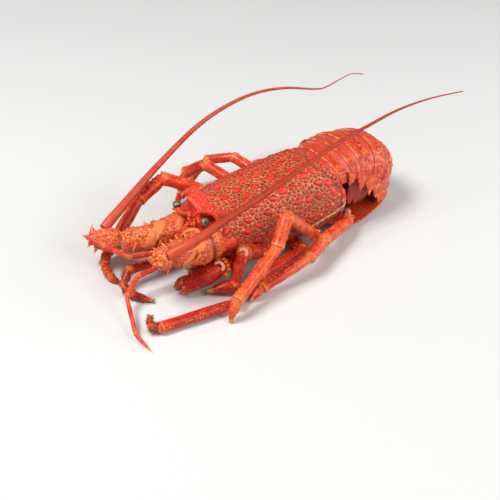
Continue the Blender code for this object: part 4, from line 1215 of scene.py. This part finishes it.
# the rings of the darker whip hardly show
strength = add_node(tree, "MapRange", {"Value": masks["pale"], "From Max": 0.6, "To Min": 0.4})
rings = {"Fac": strength, "Color1": clouded, "Color2": ring_shade}
ringed = add_node(tree, "MixRGB", rings, blend_type="MULTIPLY")
set_inputs(tree, tree.nodes["Principled BSDF"], {"Base Color": ringed, "Roughness": 0.45, "IOR": 1.42})

left_base = antenna_base(BASE_LEFT, LEFT_SPINES, LEFT_PLATES, LEFT_CRESCENTS, -64.5, 50)
right_base = antenna_base(BASE_RIGHT, RIGHT_SPINES, RIGHT_PLATES, RIGHT_CRESCENTS, -57, 60)
make_piece("antenna_base_left", left_base, spiny)
make_piece("antenna_base_right", right_base, spiny)
make_piece("antenna_whip_left", whip(WHIP_LEFT, 0.0), ringed_shell)
make_piece("antenna_whip_right", whip(WHIP_RIGHT, 0.6), ringed_shell)

# ---------------------------------------------------------------- small feelers and mouth legs
# The small feelers are thin jointed rods that end in two short lashes. The mouth legs lie below
# them, folded in front of the mouth and thick with brown bristles on the inner side.

ANTENNULE_LEFT = [
    (3, -70, 22, 1.9), (9.4, -93.6, 20, 1.9), (8.7, -112.8, 18, 1.9), (15.4, -125.3, 12, 1.5),
    (41.6, -135.4, 3.4, 1.2), (57.7, -134.2, 1.0, 1),
]
ANTENNULE_RIGHT = [
    (-3, -72, 21, 1.9), (-2.5, -92, 21, 1.8), (-5.3, -110.3, 24, 1.8), (-21.3, -120.1, 28.5, 1.3),
    (-36.3, -126.6, 30, 1),
]
MOUTH_LEG_LEFT = [(10, -52, 8, 3.5), (21, -62, 14, 3.4), (13.4, -76, 10, 1)]
MOUTH_LEG_RIGHT = [
    (-7, -54, 8, 3.5), (-4, -90, 12, 3.4), (-5.5, -110, 13, 2.8), (0, -118, 7, 2.8), (8, -116, 4, 2.6),
    (19, -106, 1.2, 1),
]
make_piece("antennule_left", limb_parts(ANTENNULE_LEFT, 0.3, 301), leg_shell)
make_piece("antennule_right", limb_parts(ANTENNULE_RIGHT, 0.3, 302), leg_shell)
for side, joints in (("left", MOUTH_LEG_LEFT), ("right", MOUTH_LEG_RIGHT)):
    # the mouth legs lie under the head and are painted a darker red as painted shade
    parts = limb_parts(joints, 0.15, 310) + [bristles(joints, 1, 110, 3.2, 320)]
    make_piece(f"mouth_leg_{side}", parts, leg_shell)

# ---------------------------------------------------------------- eyes
# A stalk of orange chitin carries an eye under each brow horn. Boiling has clouded the eyes, so
# they are glossy balls of mottled brown and grey.

EYE_RADIUS = 3.0
EYES = {"left": (13.2, -62.6, 45), "right": (-13.4, -66.4, 44.7)}

# Clouded eye skin: smooth and wet, so it shines more than the shell. The clouds are 2.4 mm wide.
eye_skin, tree, place, masks = new_material("clouded_eye_skin", "eye")
cloud = add_node(tree, "TexNoise", {"Vector": place, "Scale": 420.0, "Detail": 3.0})
EYE_TONES = [(0.35, "3A2A20"), (0.5, "6E5E48"), (0.62, "A8987C"), (0.75, "4A3A2C")]
eye_colour = add_node(tree, "ValToRGB", {"Fac": cloud}, EYE_TONES)
stalked = add_node(tree, "MixRGB", {"Fac": masks["eye"], "Color1": "D8502E", "Color2": eye_colour})
set_inputs(tree, tree.nodes["Principled BSDF"], {"Base Color": stalked, "Roughness": 0.12, "IOR": 1.45})

for name, (x, y, z) in EYES.items():
    ball = dome((x, y, z), EYE_RADIUS, 28, eye=1.0)
    stalk = [(x * 0.2, -60.5, 41, 1.5, 1.5), (x * 0.6, y, z - 3, 1.6, 1.6), (x, y, z - 1, 2.4, 2.4)]
    parts = [ball, grid_part(ring_grid(smooth_path(stalk, 20), 20), eye=0.0)]
    make_piece(f"eye_{name}", parts, eye_skin)

# ---------------------------------------------------------------- stage, light and camera
# A plain pale floor under soft studio light.

FLOOR_HALF = 3
FLOOR_BELOW = 0.0002
corners = [(-FLOOR_HALF, -FLOOR_HALF, 0), (FLOOR_HALF, -FLOOR_HALF, 0)]
corners += [(FLOOR_HALF, FLOOR_HALF, 0), (-FLOOR_HALF, FLOOR_HALF, 0)]
floor_mesh = bpy.data.meshes.new("floor")
floor_mesh.from_pydata(corners, [], [(0, 1, 2, 3)])
floor = bpy.data.objects.new("floor", floor_mesh)
bpy.context.scene.collection.objects.link(floor)
floor.location.z = -FLOOR_BELOW
# Pale paper, matt, with faint fibres of 1 mm.
paper, tree, place, _ = new_material("pale_paper")
fibre = add_node(tree, "TexNoise", {"Vector": place, "Scale": 900.0})
fibre_tone = add_node(tree, "ValToRGB", {"Fac": fibre}, [(0.0, "D6D6D4"), (1.0, "DCDCDA")])
set_inputs(tree, tree.nodes["Principled BSDF"], {"Base Color": fibre_tone, "Roughness": 0.9})
floor_mesh.materials.append(paper)
floor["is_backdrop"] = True

world = bpy.data.worlds.new("studio")
world.use_nodes = True
set_inputs(world.node_tree, world.node_tree.nodes["Background"], {"Color": "FFFFFF", "Strength": 0.27})
bpy.context.scene.world = world


def placed(side, over, back, place):
    """The matrix of a thing with these axes at a place."""
    columns = [(*side, 0), (*over, 0), (*back, 0), (*place, 1)]
    return Matrix(columns).transposed()


def soft_box(name, place, aim, size, power):
    """A square lamp at place that shines at aim, in metres and watts."""
    light = bpy.data.lights.new(name, "AREA")
    light.size = size
    light.energy = power
    lamp = bpy.data.objects.new(name, light)
    bpy.context.scene.collection.objects.link(lamp)
    back = unit(np.array(place, float) - np.array(aim, float))
    side = unit(np.cross((0.0, 1.0, 0.0), back))
    lamp.matrix_world = placed(side, np.cross(back, side), back, place)


soft_box("key", (-0.15, -0.6, 1.0), (0, 0, 0), 0.42, 12.5)
soft_box("fill", (0.85, 0.2, 0.7), (0, 0, 0), 0.6, 4.6)
soft_box("rim", (0.35, 0.75, 0.4), (0, 0.08, 0.03), 0.5, 2.8)

camera_data = bpy.data.cameras.new("camera")
LENS, SENSOR = 73.17, 36
camera_data.lens = LENS
camera_data.sensor_width = SENSOR
camera = bpy.data.objects.new("camera", camera_data)
bpy.context.scene.collection.objects.link(camera)
CAMERA_PLACE = (0.43713, -0.40020, 0.43809)
look = unit(np.array([-0.59245, 0.53029, -0.60647]))
right = unit(np.array([0.62315, 0.77876, 0.07219]))
camera.matrix_world = placed(right, np.cross(right, look), -look, CAMERA_PLACE)
bpy.context.scene.camera = camera
bpy.context.scene.view_settings.view_transform = "Standard"

low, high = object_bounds()
